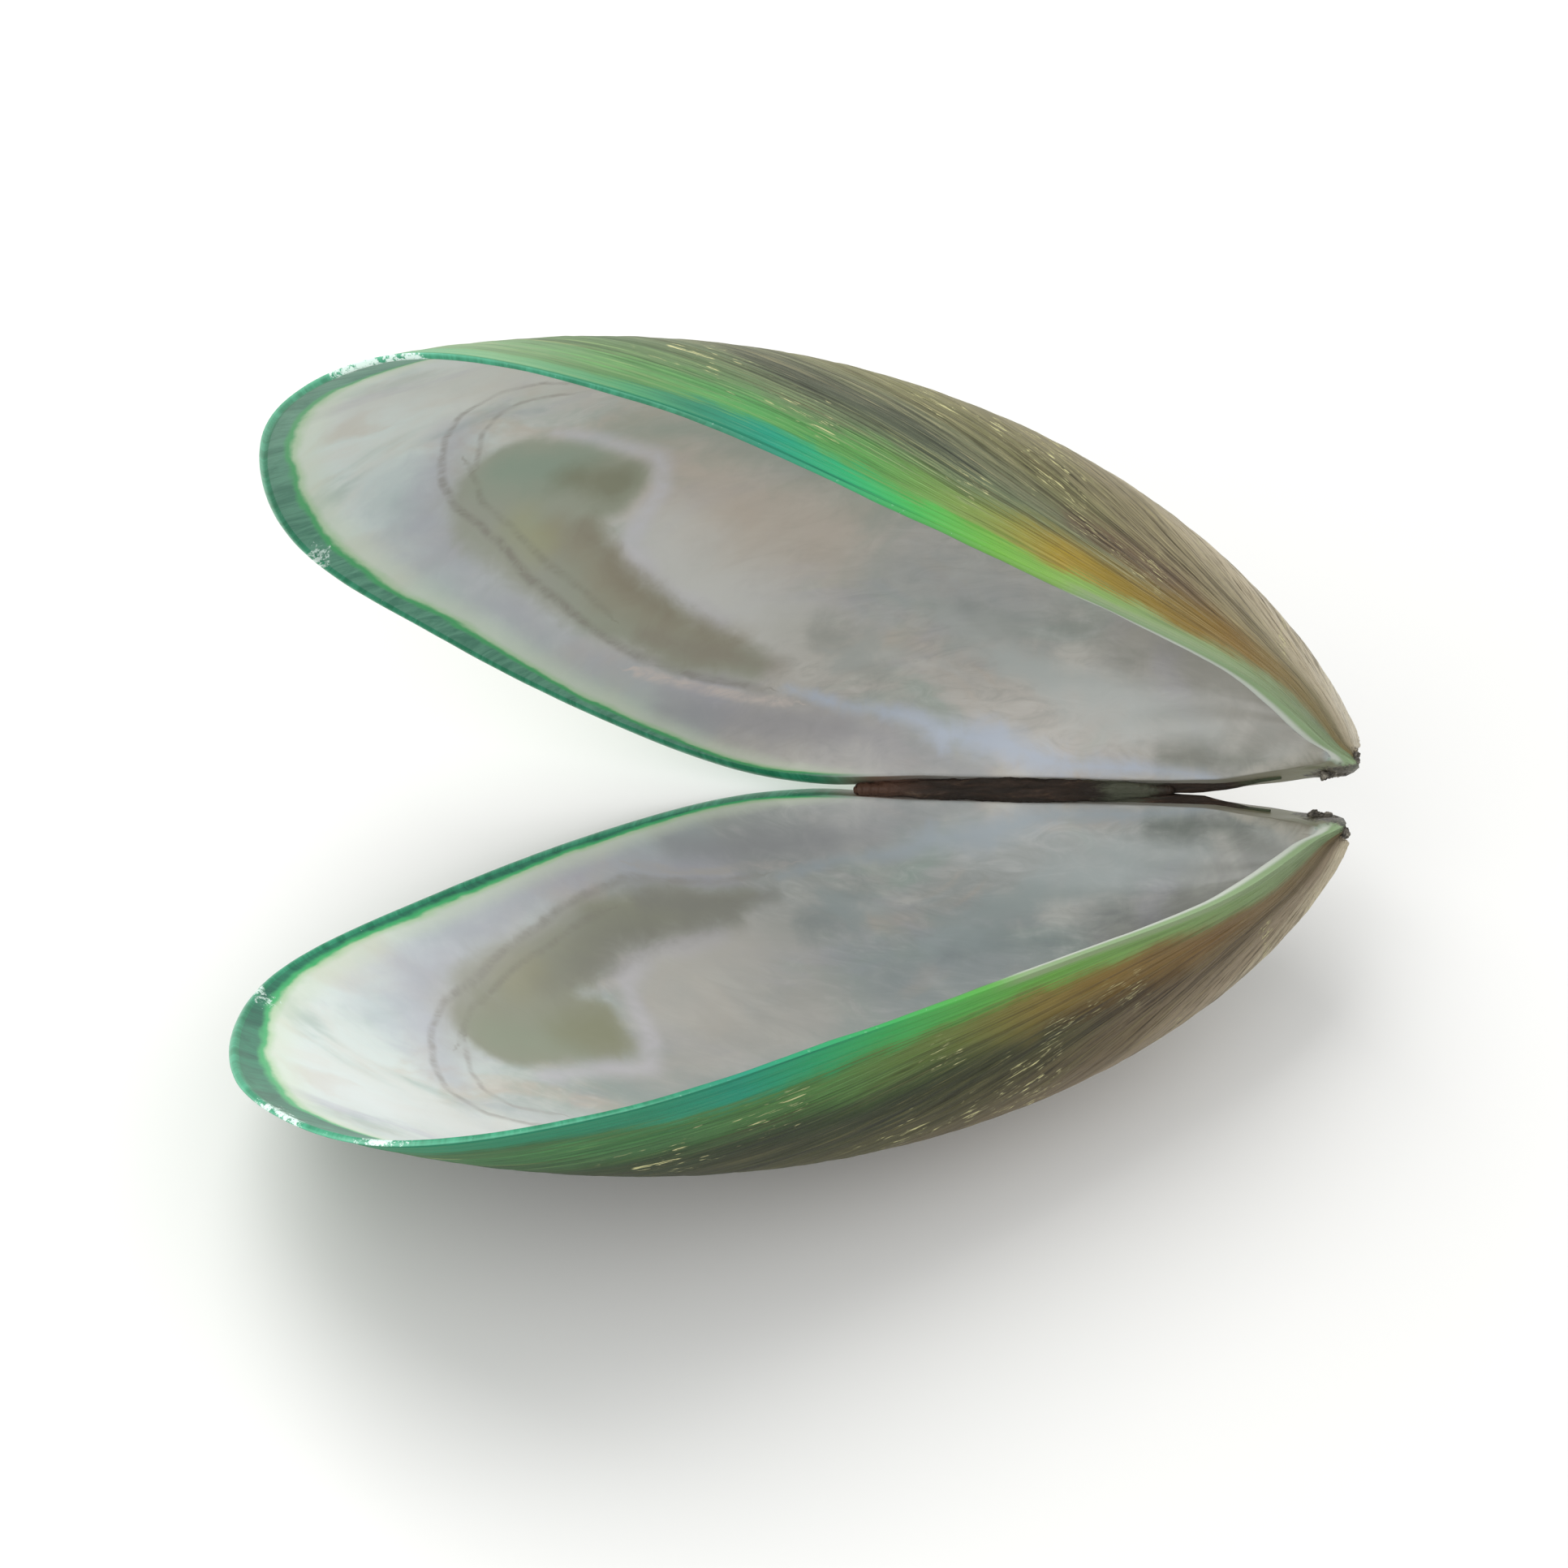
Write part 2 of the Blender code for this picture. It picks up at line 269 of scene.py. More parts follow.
# The path (a, s, d) along which the worn lumps sit on each beak, and how many there are.
BEAK_LUMPS = ((0.6, 0.6, 1.1), (0.7, -0.1, 0.6), (1.8, -1.0, 0.25), (3.0, -1.7, 0.35))
LUMP_COUNT = 10

# The skins along the hinge: from one a to another, how far they sink to the side and down into the rim,
# and the sides of their round section.
SKIN_SPAN = (6.5, 42.0)
SKIN_SINK = (0.15, 0.2)
SKIN_SIDES = 16

# The rim: bare nacre along the hinge up to the first span of a, a thick pale lip on the front side up to
# the second, the young shell's own colour up to the third, and green behind it.
BARE_HINGE = (41.0, 48.0)
FRONT_LIP = {"right": (24.5, 28.5), "left": (28.0, 32.0)}
YOUNG_RIM = (50.0, 62.0)
# The green band inside the rim: the growth at which it starts, at shares of the way round.
BAND_STARTS = {
    "right": (
        (0.2, 0.993), (0.28, 0.985), (0.34, 0.979), (0.516, 0.977), (0.531, 0.968), (0.56, 0.935),
        (0.62, 0.96),
    ),
    "left": (
        (0.2, 0.994), (0.3, 0.988), (0.44, 0.988), (0.471, 0.979), (0.5, 0.971), (0.527, 0.968),
        (0.56, 0.935), (0.62, 0.96),
    ),
}

# The bare rim along the hinge, at shares of RAMP_LENGTH along a, and the dirt in the gnarled beaks.
BARE_RIM = (
    (0.04, "#7f8064"), (0.09, "#8f8a74"), (0.14, "#a8a59a"), (0.38, "#a5a29b"), (0.44, "#8a7262"),
    (0.50, "#90867b"),
)
BEAK_DIRT = ((0.42, "#29231c"), (0.56, "#5a5145"), (0.70, "#a39a8a"))

# Finishes of each valve. The stops of young and gold are at shares of RAMP_LENGTH along a, those of skin at
# growth; a reach is in millimetres from the rim, and the last number of cast, dusk and front is a cover.
RAMP_LENGTH = 95.0
FINISHES = {
    "right": {
        "mark_colour": 0,
        "young_reach": (5.0, 2.4),
        "gold_reach": (12.5, 7.0),
        "cast": ("#d8cec2", 0.25),
        "band": ("#477f6c", "#6fa78f"),
        "line": "#36a964",
        "streak": "#47b755",
        "young": (
            (0.05, "#8b9a78"), (0.2, "#8fa970"), (0.28, "#8cb557"), (0.35, "#74b745"), (0.42, "#47b755"),
            (0.475, "#2fb171"), (0.54, "#209a7c"), (0.6, "#37896a"), (0.66, "#559a6b"), (0.76, "#7fab80"),
            (0.9, "#63a37f"),
        ),
        "gold": (
            (0.05, "#8e7f55"), (0.13, "#886a2c"), (0.22, "#8d7420"), (0.29, "#a98f2e"), (0.36, "#87994a"),
            (0.45, "#5d9c4c"), (0.56, "#569f57"), (0.66, "#639159"), (0.78, "#7f9c76"),
        ),
        "skin": (
            (0.08, "#dcd3c0"), (0.24, "#c6b99f"), (0.42, "#8f8669"), (0.6, "#7c7a54"), (0.73, "#6f7459"),
            (0.86, "#678157"),
        ),
        "dusk": ("#6a5342", "#4f5345", 0.75),
        "front": ("#a19070", 0.65),
        "fibre": ("#cdbf90", "#726a58"),
    },
    # The left valve lies underneath: its skin, young, gold, dusk and fibre colours are darker than the
    # right's, partly its own darker skin and partly painted shade of its underside.
    "left": {
        "mark_colour": 1,
        "young_reach": (6.6, 3.2),
        "gold_reach": (16.0, 8.5),
        "cast": ("#8f9da0", 0.5),
        "band": ("#16584a", "#2f8467"),
        "line": "#22b068",
        "streak": "#38a856",
        "young": (
            (0.05, "#87986f"), (0.2, "#7ba257"), (0.28, "#6ea945"), (0.35, "#56ab48"), (0.42, "#38a856"),
            (0.475, "#25a066"), (0.54, "#179274"), (0.62, "#258a66"), (0.85, "#2a805b"),
        ),
        "gold": (
            (0.05, "#857555"), (0.13, "#7d6035"), (0.22, "#866928"), (0.29, "#857431"), (0.36, "#6d7936"),
            (0.46, "#527e3c"), (0.6, "#3f763f"), (0.78, "#36683b"),
        ),
        "skin": (
            (0.08, "#cfc3a9"), (0.24, "#a2937c"), (0.42, "#6e6048"), (0.6, "#4a4829"), (0.73, "#2f361c"),
            (0.86, "#2c431c"),
        ),
        "dusk": ("#33271f", "#33271f", 0.95),
        "front": ("#83705a", 0.6),
        "fibre": ("#8b8252", "#77705c"),
    },
}

# Kinds of node that the trees use most, some with a setting.
MATH = "ShaderNodeMath"
ADD, SUBTRACT, MULTIPLY, DIVIDE, MULTIPLY_ADD, POWER, SINE, ABSOLUTE = (
    (MATH, {"operation": name})
    for name in ("ADD", "SUBTRACT", "MULTIPLY", "DIVIDE", "MULTIPLY_ADD", "POWER", "SINE", "ABSOLUTE")
)
VECTOR_MATH = "ShaderNodeVectorMath"
STRETCH = (VECTOR_MATH, {"operation": "MULTIPLY"})
SCALE = (VECTOR_MATH, {"operation": "SCALE"})
MIX = "ShaderNodeMix"
MIX_VECTORS = (MIX, {"data_type": "VECTOR"})
BLEND = (MIX, {"data_type": "RGBA"})
RANGE = "ShaderNodeMapRange"
SMOOTH_RANGE = (RANGE, {"interpolation_type": "SMOOTHSTEP"})
NOISE = "ShaderNodeTexNoise"
RAMP = "ShaderNodeValToRGB"
SPLIT = "ShaderNodeSeparateXYZ"
JOIN = "ShaderNodeCombineXYZ"
SURFACE = "ShaderNodeAttribute"
STORE = "GeometryNodeStoreNamedAttribute"
STORE_VECTORS = (STORE, {"data_type": "FLOAT_VECTOR"})
MOVE = "GeometryNodeSetPosition"
PLACE = "GeometryNodeInputPosition"
NORMAL = "GeometryNodeInputNormal"
REALIZE = "GeometryNodeRealizeInstances"
SET_SMOOTH = "GeometryNodeSetShadeSmooth"
SET_MATERIAL = "GeometryNodeSetMaterial"


def linear(colour):
    """An sRGB hex colour as linear red, green, blue and alpha."""
    parts = [int(colour[i : i + 2], 16) / 255 for i in (1, 3, 5)]
    return [p / 12.92 if p <= 0.04045 else ((p + 0.055) / 1.055) ** 2.4 for p in parts] + [1.0]


def add(tree, kind, *values, inputs=None, stops=None, **settings):
    """Adds a node, with its settings, its live inputs in order or by name, and a ramp's stops."""
    kind, usual = kind if isinstance(kind, tuple) else (kind, {})
    node = tree.nodes.new(kind)
    for name, value in (usual | settings).items():
        setattr(node, name, value)
    live = [socket for socket in node.inputs if socket.enabled]
    named = [(next(s for s in live if s.name == name), value) for name, value in (inputs or {}).items()]
    for socket, value in list(zip(live, values)) + named:
        if isinstance(value, bpy.types.Node):
            value = next(s for s in value.outputs if s.enabled)
        if isinstance(value, bpy.types.NodeSocket):
            tree.links.new(value, socket)
        elif isinstance(value, str) and value.startswith("#"):
            socket.default_value = linear(value)
        elif isinstance(value, Color):
            socket.default_value = (*value, 1.0)
        else:
            socket.default_value = value
    if stops:
        elements = node.color_ramp.elements
        while len(elements) < len(stops):
            elements.new(1.0)
        for element, (place, colour) in zip(elements, stops):
            element.position = place
            element.color = linear(colour)
    return node


def smooth_step(low, high, values):
    """0 at low, 1 at high and a smooth rise or fall between them."""
    share = np.clip((values - low) / (high - low), 0.0, 1.0)
    return share * share * (3 - 2 * share)


def smooth_loop(corners, count):
    """Points evenly spaced along a smooth closed curve through the corners."""
    corners = np.array(corners)
    following = np.roll(corners, -1, axis=0)
    gap = np.sqrt(np.linalg.norm(following - corners, axis=1))[:, None]
    slope = (following - np.roll(corners, 1, axis=0)) / (gap + np.roll(gap, 1, axis=0))
    leaving = slope * gap
    arriving = np.roll(slope, -1, axis=0) * gap
    steps = np.linspace(0.0, 1.0, MARGIN_STEPS, endpoint=False)[:, None, None]
    curve = (
        (1 + 2 * steps) * (1 - steps) ** 2 * corners
        + steps * (1 - steps) ** 2 * leaving
        + steps**2 * (3 - 2 * steps) * following
        - steps**2 * (1 - steps) * arriving
    )
    curve = curve.transpose(1, 0, 2).reshape(-1, 2)
    closed = np.vstack((curve, curve[:1]))
    length = np.append(0.0, np.cumsum(np.linalg.norm(np.diff(closed, axis=0), axis=1)))
    places = np.linspace(0.0, length[-1], count, endpoint=False)
    return np.column_stack([np.interp(places, length, closed[:, i]) for i in range(2)])


def line_curve(name, points, cyclic):
    """A curve object of straight pieces through the points."""
    curve = bpy.data.curves.new(name, "CURVE")
    curve.dimensions = "3D"
    spline = curve.splines.new("POLY")
    spline.points.add(len(points) - 1)
    spline.points.foreach_set("co", np.column_stack((points, np.ones(len(points)))).ravel())
    spline.use_cyclic_u = cyclic
    made = bpy.data.objects.new(name, curve)
    bpy.context.scene.collection.objects.link(made)
    return made


def grow(thing, tree, values):
    """The plain mesh that a Geometry Nodes tree makes from an object, with its named inputs set."""
    modifier = thing.modifiers.new(tree.name, "NODES")
    modifier.node_group = tree
    for name, value in values.items():
        modifier[tree.interface.items_tree[name].identifier] = value
    bpy.context.view_layer.update()
    graph = bpy.context.evaluated_depsgraph_get()
    mesh = bpy.data.meshes.new_from_object(thing.evaluated_get(graph), depsgraph=graph)
    thing.modifiers.remove(modifier)
    bpy.data.objects.remove(thing)
    if not mesh.polygons:
        raise RuntimeError(f"The tree {tree.name} made no faces")
    return mesh


def new_tree(name, **sockets):
    """An empty Geometry Nodes tree with the named inputs of each kind, and its group input's outputs."""
    tree = bpy.data.node_groups.new(name, "GeometryNodeTree")
    tree.is_modifier = True
    tree.interface.new_socket("Geometry", in_out="INPUT", socket_type="NodeSocketGeometry")
    for kind, names in sockets.items():
        for socket in names:
            tree.interface.new_socket(socket, in_out="INPUT", socket_type=f"NodeSocket{kind}")
    tree.interface.new_socket("Geometry", in_out="OUTPUT", socket_type="NodeSocketGeometry")
    return tree, tree.nodes.new("NodeGroupInput").outputs


def new_material(name):
    """An empty material and its node tree."""
    made = bpy.data.materials.new(name)
    made.use_nodes = True
    made.node_tree.nodes.clear()
    return made, made.node_tree


def finish_material(tree, colour, height, strength, distance, surface):
    """The end that all the materials share: a bump, and a shader of this colour with its other values."""
    bump = {"Strength": strength, "Distance": distance, "Height": height}
    look = {"Base Color": colour, "Normal": add(tree, "ShaderNodeBump", inputs=bump)} | surface
    add(tree, "ShaderNodeOutputMaterial", add(tree, "ShaderNodeBsdfPrincipled", inputs=look))


def raise_surface(tree, body, height):
    """Moves a body's points along their normals, shades it smooth and realizes it."""
    offset = add(tree, SCALE, add(tree, NORMAL), inputs={"Scale": height})
    body = add(tree, MOVE, body, inputs={"Offset": offset})
    return add(tree, REALIZE, add(tree, SET_SMOOTH, body))


def show(name, mesh, slot, *nodes):
    """Makes the finished object of a mesh, which rides on the shell and stands for CAD nodes."""
    mesh.name = name
    piece = bpy.data.objects.new(name, mesh)
    bpy.context.scene.collection.objects.link(piece)
    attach(piece, "root")
    if nodes:
        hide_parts(*nodes)


def valve_tree():
    """A closed shell whose rings are the growth stages of its margin, over the outside and the inside."""
    tree, given = new_tree(
        "growth_spiral_valve",
        Int=("Segments", "Rings"),
        Float=(
            "Outer End", "Rim End", "Coil Angle", "Seat Depth",
            "Ridge Height", "Swell Height", "Gnarl Height", "Seed",
        ),
        Material=("Outside", "Inside"),
    )
    put = functools.partial(add, tree)

    # A ball's circles become the growth stages, from the beak outside over the rim to the beak inside.
    ball = put("GeometryNodeMeshUVSphere", given["Segments"], given["Rings"], 1.0)
    at = put(SPLIT, put(PLACE))
    angle = put(MATH, at.outputs["Y"], at.outputs["X"], operation="ARCTAN2")
    around = put(MATH, put(DIVIDE, angle, 2 * math.pi), 1.0, operation="FLOORED_MODULO")
    level = put(DIVIDE, put(MATH, at.outputs["Z"], operation="ARCCOSINE"), math.pi)
    outer = put(RANGE, level, 0.0, given["Outer End"], 0.0, 1.0)
    inner = put(RANGE, level, given["Rim End"], 1.0, 1.0, 0.0)
    layer = put(RANGE, level, given["Outer End"], given["Rim End"], 0.0, 1.0)
    share = put(MATH, outer, inner, operation="MINIMUM")

    # The first stages are drawn in to their middle, which closes the beak.
    opened = put(SINE, put(RANGE, share, 0.0, CAP_SHARE, 0.0, math.pi / 2))
    root = put(RANGE, share, CAP_SHARE, 1.0, math.sqrt(FIRST_GROWTH), math.sqrt(LAST_GROWTH))
    growth = put(MULTIPLY, root, root)
    margin = put("GeometryNodeSampleCurve", inputs={"Curves": given["Geometry"], "Factor": around})
    flat = put(MIX_VECTORS, opened, MARGIN_MIDDLE, margin.outputs["Position"])
    small = put(MIX_VECTORS, growth, GROWTH_CENTRE, flat)
    turn = put(MULTIPLY, put(SUBTRACT, 1.0, root), given["Coil Angle"])
    turned = put("ShaderNodeVectorRotate", small, COIL_POINT, COIL_AXIS, turn)
    lining = put(MIX_VECTORS, CAVITY_SHRINK, CAVITY_CENTRE, turned, factor_mode="NON_UNIFORM")
    wall = put(SPLIT, put(MIX_VECTORS, layer, turned, lining))
    a, s = wall.outputs["X"], wall.outputs["Y"]

    # The rim is rounded, and stands back along the hinge for the ligament and at the beak.
    crown = put(SINE, put(MULTIPLY, layer, math.pi))
    depth = put(MULTIPLY, put(SUBTRACT, 1.0, crown), wall.outputs["Z"])
    rise = put(SMOOTH_RANGE, a, *SEAT_FRONT, 0.0, given["Seat Depth"])
    fall = put(SMOOTH_RANGE, a, *SEAT_REAR, 0.0, 1.0)
    beak_rise = put(SMOOTH_RANGE, a, BEAK_SEAT[0], BEAK_SEAT[1], 0.0, BEAK_SEAT_DEPTH)
    beak_fall = put(SMOOTH_RANGE, a, BEAK_SEAT[3], BEAK_SEAT[2], 0.0, 1.0)
    at_beak = put(MULTIPLY, beak_rise, beak_fall)
    seat = put(MULTIPLY_ADD, rise, fall, at_beak)
    steep = put(POWER, put(DIVIDE, depth, SEAT_FADE), 2.0)
    near_rim = put(MATH, put(MULTIPLY, steep, -1.0), operation="EXPONENT")
    near_hinge = put(SMOOTH_RANGE, s, HINGE_SIDE[1], HINGE_SIDE[0], 0.0, 1.0)
    near = put(MULTIPLY, near_rim, near_hinge)
    lifted = put(MULTIPLY_ADD, seat, near, depth)
    placed = put(JOIN, a, s, lifted)

    # What the finishes read: the way round the ring with the growth, the layer and the place.
    turn_round = put(MULTIPLY, around, 2 * math.pi)
    ring = put(JOIN, put(MATH, turn_round, operation="COSINE"), put(SINE, turn_round), growth)
    shell = put(STORE_VECTORS, ball, inputs={"Name": "ring", "Value": ring})
    shell = put(STORE, shell, inputs={"Name": "layer", "Value": layer})
    shell = put(MOVE, shell, inputs={"Position": placed})
    place = put(PLACE)
    shell = put(STORE_VECTORS, shell, inputs={"Name": "place", "Value": place})

    # Relief: long low growth ridges outside, low swells inside, and a gnarled beak.
    kept_ring = put("GeometryNodeInputNamedAttribute", inputs={"Name": "ring"}, data_type="FLOAT_VECTOR")
    kept_layer = put("GeometryNodeInputNamedAttribute", inputs={"Name": "layer"})
    four = {"noise_dimensions": "4D"}
    seed = {"W": given["Seed"]}
    along = put(STRETCH, kept_ring, (2.4, 2.4, 44.0))
    ridges = put(NOISE, along, given["Seed"], 1.0, 4.0, 0.6, **four)
    ridge = put(MULTIPLY, put(SUBTRACT, ridges, 0.5), given["Ridge Height"])
    swells = put(NOISE, inputs={"Scale": 0.09, "Detail": 2.0} | seed, **four)
    swell = put(MULTIPLY, put(SUBTRACT, swells, 0.5), given["Swell Height"])
    low = put(MIX, kept_layer, ridge, swell)
    from_beak = put(VECTOR_MATH, place, (2.0, -0.8, 0.3), operation="DISTANCE").outputs["Value"]
    gnarled = put(SMOOTH_RANGE, from_beak, 3.8, 1.9, 0.0, given["Gnarl Height"])
    lumps = put(NOISE, inputs={"Scale": 1.9, "Detail": 3.0, "Roughness": 0.6} | seed, **four)
    lump = put(MULTIPLY_ADD, put(SUBTRACT, lumps, 0.32), gnarled, low)
    shell = raise_surface(tree, shell, lump)
    shell = put(SET_MATERIAL, shell, inputs={"Material": given["Outside"]})
    lined = put("FunctionNodeCompare", kept_layer, 0.001, operation="GREATER_THAN", data_type="FLOAT")
    shell = put(SET_MATERIAL, shell, inputs={"Selection": lined, "Material": given["Inside"]})
    put("NodeGroupOutput", shell)
    return tree


def place_mesh(mesh, side, depth, turns):
    """Takes a mesh from a valve's (a, s, d) in millimetres to the row frame in metres, faces outward."""
    axes = Matrix(((-1, 0, 0, 0), (0, 0, side * depth, 0), (0, 1, 0, 0), (0, 0, 0, 1)))
    placed = Matrix.Translation(side * BEAK_OFFSET * MM) @ turns.to_matrix().to_4x4()
    mesh.transform(HINGE_TO_ROW @ placed @ Matrix.Scale(MM, 4) @ axes)
    if side < 0:
        mesh.flip_normals()


def distance_to_strokes(points, strokes):
    """How far points are outside the nearest stroke, whose rows are a place and a half width."""
    nearest = np.full(len(points), np.inf)
    for stroke in strokes:
        stroke = np.array(stroke, float)
        for start, end in zip(stroke, stroke[1:]):
            way = (end - start)[:-1]
            share = np.clip((points - start[:-1]) @ way / (way @ way), 0.0, 1.0)
            across = np.linalg.norm(points - start[:-1] - share[:, None] * way, axis=1)
            nearest = np.minimum(nearest, across - (start[-1] + share * (end[-1] - start[-1])))
    return nearest


def signed_distance(points, line):
    """Distance from a line of points, positive on its left side and negative on its right side."""
    nearest = np.full(len(points), np.inf)
    line = np.array(line, float)
    for start, end in zip(line, line[1:]):
        way = end - start
        share = np.clip((points - start) @ way / (way @ way), 0.0, 1.0)
        arm = points - start - share[:, None] * way
        side = np.sign(way[0] * arm[:, 1] - way[1] * arm[:, 0])
        away = side * np.linalg.norm(arm, axis=1)
        nearest = np.where(np.abs(away) < np.abs(nearest), away, nearest)
    return nearest


def read(mesh, name, kind="vector", width=3):
    """A point attribute of a mesh as an array."""
    values = np.zeros(len(mesh.vertices) * width, np.float32)
    mesh.attributes[name].data.foreach_get(kind, values)
    return values.reshape(-1, width) if width > 1 else values


def store(mesh, name, values):
    """Keeps one number for each vertex as an attribute."""
    kept = mesh.attributes.new(name, "FLOAT", "POINT")
    kept.data.foreach_set("value", np.asarray(values, np.float32))


def mark_valve(mesh, side_name):
    """Adds what the finishes read, in millimetres or as shares, and gives the marks their relief."""
    place = read(mesh, "place")
    ring = read(mesh, "ring")
    layer = read(mesh, "layer", "value", 1)
    flat = place[:, :2].copy()
    if side_name == "left":
        for axis, (way, start, end) in ((1, LEFT_MARK_DRIFT), (0, LEFT_MARK_SHIFT)):
            flat[:, axis] += way * smooth_step(start, end, flat[:, 0])
    fields = {name: distance_to_strokes(flat, mark[5:]) for name, mark in NACRE_MARKS.items()}
    if side_name == "left":
        fields["scar"] += LEFT_SCAR_NARROWING
    for name, (*_, line) in NACRE_LINES.items():
        fields[name] = signed_distance(flat, line)
        fields[f"{name}_reach"] = np.abs(fields[name])
    around = np.arctan2(ring[:, 1], ring[:, 0]) / (2 * math.pi) % 1.0
    fields["edge"] = ring[:, 2] - np.interp(around, *np.transpose(BAND_STARTS[side_name]))
    fields["bare_hinge"] = smooth_step(*reversed(BARE_HINGE), place[:, 0]) * (around < 0.4)
    fields["front_lip"] = smooth_step(*reversed(FRONT_LIP[side_name]), place[:, 0]) * (around > 0.6)
    fields["young_rim"] = smooth_step(*reversed(YOUNG_RIM), place[:, 0]) * (around > 0.5)
    fields["from_rim"] = (1 - ring[:, 2]) * np.linalg.norm(place, axis=1)
    fields["dusk"] = distance_to_strokes(place, DUSK_PATCHES[side_name])
    fields["gnarl"] = distance_to_strokes(place, GNARL)
    fields["chips"] = distance_to_strokes(place, CHIPS[side_name])
    for name, values in fields.items():
        store(mesh, name, values)
    line = LINE_RISE * np.exp(-((fields["pallial_line"] / LINE_WIDTH) ** 2))
    sink = SCAR_SINK * smooth_step(SCAR_SLOPE, -SCAR_SLOPE, fields["scar"])
    height = (line - sink) * (layer > 0.99)
    co, normal = np.zeros((2, len(mesh.vertices) * 3), np.float32)
    mesh.vertices.foreach_get("co", co)
    mesh.vertices.foreach_get("normal", normal)
    mesh.vertices.foreach_set("co", co + normal * np.repeat(height, 3).astype(np.float32))


def nacre(name, finish, settings):
    """Nacre, laid down in thin sheets by the animal's mantle and polished by it: pearly grey-white with soft
    pink, green and lilac clouds, duller where the muscle sat, and a rim of green prismatic shell."""
    made, tree = new_material(name)
    put = functools.partial(add, tree)
    ring, place = (put(SURFACE, attribute_name=name).outputs["Vector"] for name in ("ring", "place"))
    layer, edge, hinge, lip, young_rim, chips, gnarl = (
        put(SURFACE, attribute_name=name).outputs["Fac"]
        for name in ("layer", "edge", "bare_hinge", "front_lip", "young_rim", "chips", "gnarl")
    )
    a = put(SPLIT, place).outputs["X"]
    growth = put(SPLIT, ring).outputs["Z"]

    # Base: greyer under the body and, as painted shade of the deep hollow, towards the beak; whiter and
    # greener towards the rear, in clouds of 10 to 25 mm.
    drift = put(NOISE, place, 0.045, 2.0)
    reach = put(MULTIPLY_ADD, drift, 30.0, a)
    whiteness = put(SMOOTH_RANGE, reach, 72.0, 97.0)
    cast, cast_share = finish["cast"]
    colour = put(BLEND, cast_share, settings.nacre_colour, cast)
    colour = put(BLEND, whiteness, colour, "#e0e8e4")
    # Painted shade: the nacre greys towards the beak, deep in its hollow.
    beak_hollow_shade = put(SMOOTH_RANGE, reach, 45.0, 22.0, 0.0, 0.7)
    colour = put(BLEND, beak_hollow_shade, colour, "#a6a69f")
    tints = (("#cfbfae", 0.0, 0.6), ("#9fb3a9", 31.0, 0.55), ("#b3b0c0", 57.0, 0.5), ("#e0ded6", 83.0, 0.5))
    for tint, shift, cover in tints:
        moved = put(VECTOR_MATH, place, (shift, 0.4 * shift, 7.0), operation="ADD")
        stretched = put(STRETCH, moved, (0.05, 0.085, 0.085))
        cloud = put(NOISE, stretched, 1.0, 4.0, 0.55, inputs={"Distortion": 1.2})
        share = put(SMOOTH_RANGE, cloud, 0.48, 0.68, 0.0, cover)
        colour = put(BLEND, share, colour, tint)

    # Silky streaks where the sheets of nacre end, about 1 mm apart.
    silk = put(NOISE, put(STRETCH, place, (0.18, 0.55, 0.4)), 1.0, 6.0, 0.65, inputs={"Distortion": 1.6})
    colour = put(BLEND, put(RANGE, silk, 0.5, 0.8, 0.0, 0.45), colour, "#e2e1dd")
    dull = put(MULTIPLY, put(RANGE, silk, 0.5, 0.2, 0.0, 0.45), put(RANGE, a, 66.0, 48.0, 0.1, 1.0))
    colour = put(BLEND, dull, colour, "#868983")

    # The marks, their edges ragged by one shared pattern.
    ragged = put(NOISE, place, 0.28, 5.0, 0.6, inputs={"Distortion": 0.5})
    wobble = put(SUBTRACT, ragged, 0.5)
    for mark, row in NACRE_MARKS.items():
        *tints, cover, softness, raggedness = row[:5]
        away = put(SURFACE, attribute_name=mark).outputs["Fac"]
        moved = put(MULTIPLY_ADD, wobble, raggedness, away)
        share = put(SMOOTH_RANGE, moved, softness, -0.6 * softness, 0.0, cover)
        colour = put(BLEND, share, colour, tints[finish["mark_colour"]])
    faint = put(RANGE, silk, 0.40, 0.60, 0.35, 1.0)
    for line, (*tints, cover, half_width, _) in NACRE_LINES.items():
        moved = put(MULTIPLY_ADD, wobble, 0.8, put(SURFACE, attribute_name=line).outputs["Fac"])
        away = put(ABSOLUTE, moved)
        reach = put(SURFACE, attribute_name=f"{line}_reach").outputs["Fac"]
        thin = put(SMOOTH_RANGE, away, half_width + 0.35, 0.3 * half_width, 0.0, cover)
        near = put(SMOOTH_RANGE, reach, 2.0, 1.2)
        share = put(MULTIPLY, thin, put(MULTIPLY, near, faint))
        colour = put(BLEND, share, colour, tints[finish["mark_colour"]])

    # Near the rim the nacre yellows, ends in a bright green line, and leaves the green shell bare.
    uneven = put(NOISE, put(STRETCH, ring, (6.0, 6.0, 30.0)), 1.0, 4.0, 0.6)
    edge = put(ADD, put(RANGE, uneven, 0.0, 1.0, -0.009, 0.009), edge)
    striae = put(NOISE, put(STRETCH, ring, (21.0, 21.0, 16.0)), 1.0, 6.0, 0.7, inputs={"Distortion": 1.5})
    band = put(BLEND, put(SMOOTH_RANGE, striae, 0.3, 0.7), *finish["band"])
    green = put(SUBTRACT, 1.0, put(MATH, hinge, lip, operation="MAXIMUM"))
    border = colour
    for low, high, cover, tint in (
        (-0.045, -0.010, 0.55, "#dce6cf"),
        (-0.014, -0.003, 0.65, "#a2cd93"),
        (-0.006, -0.001, 0.90, finish["line"]),
        (-0.001, 0.005, 0.95, band),
    ):
        border = put(BLEND, put(SMOOTH_RANGE, edge, low, high, 0.0, cover), border, tint)
    colour = put(BLEND, green, colour, border)

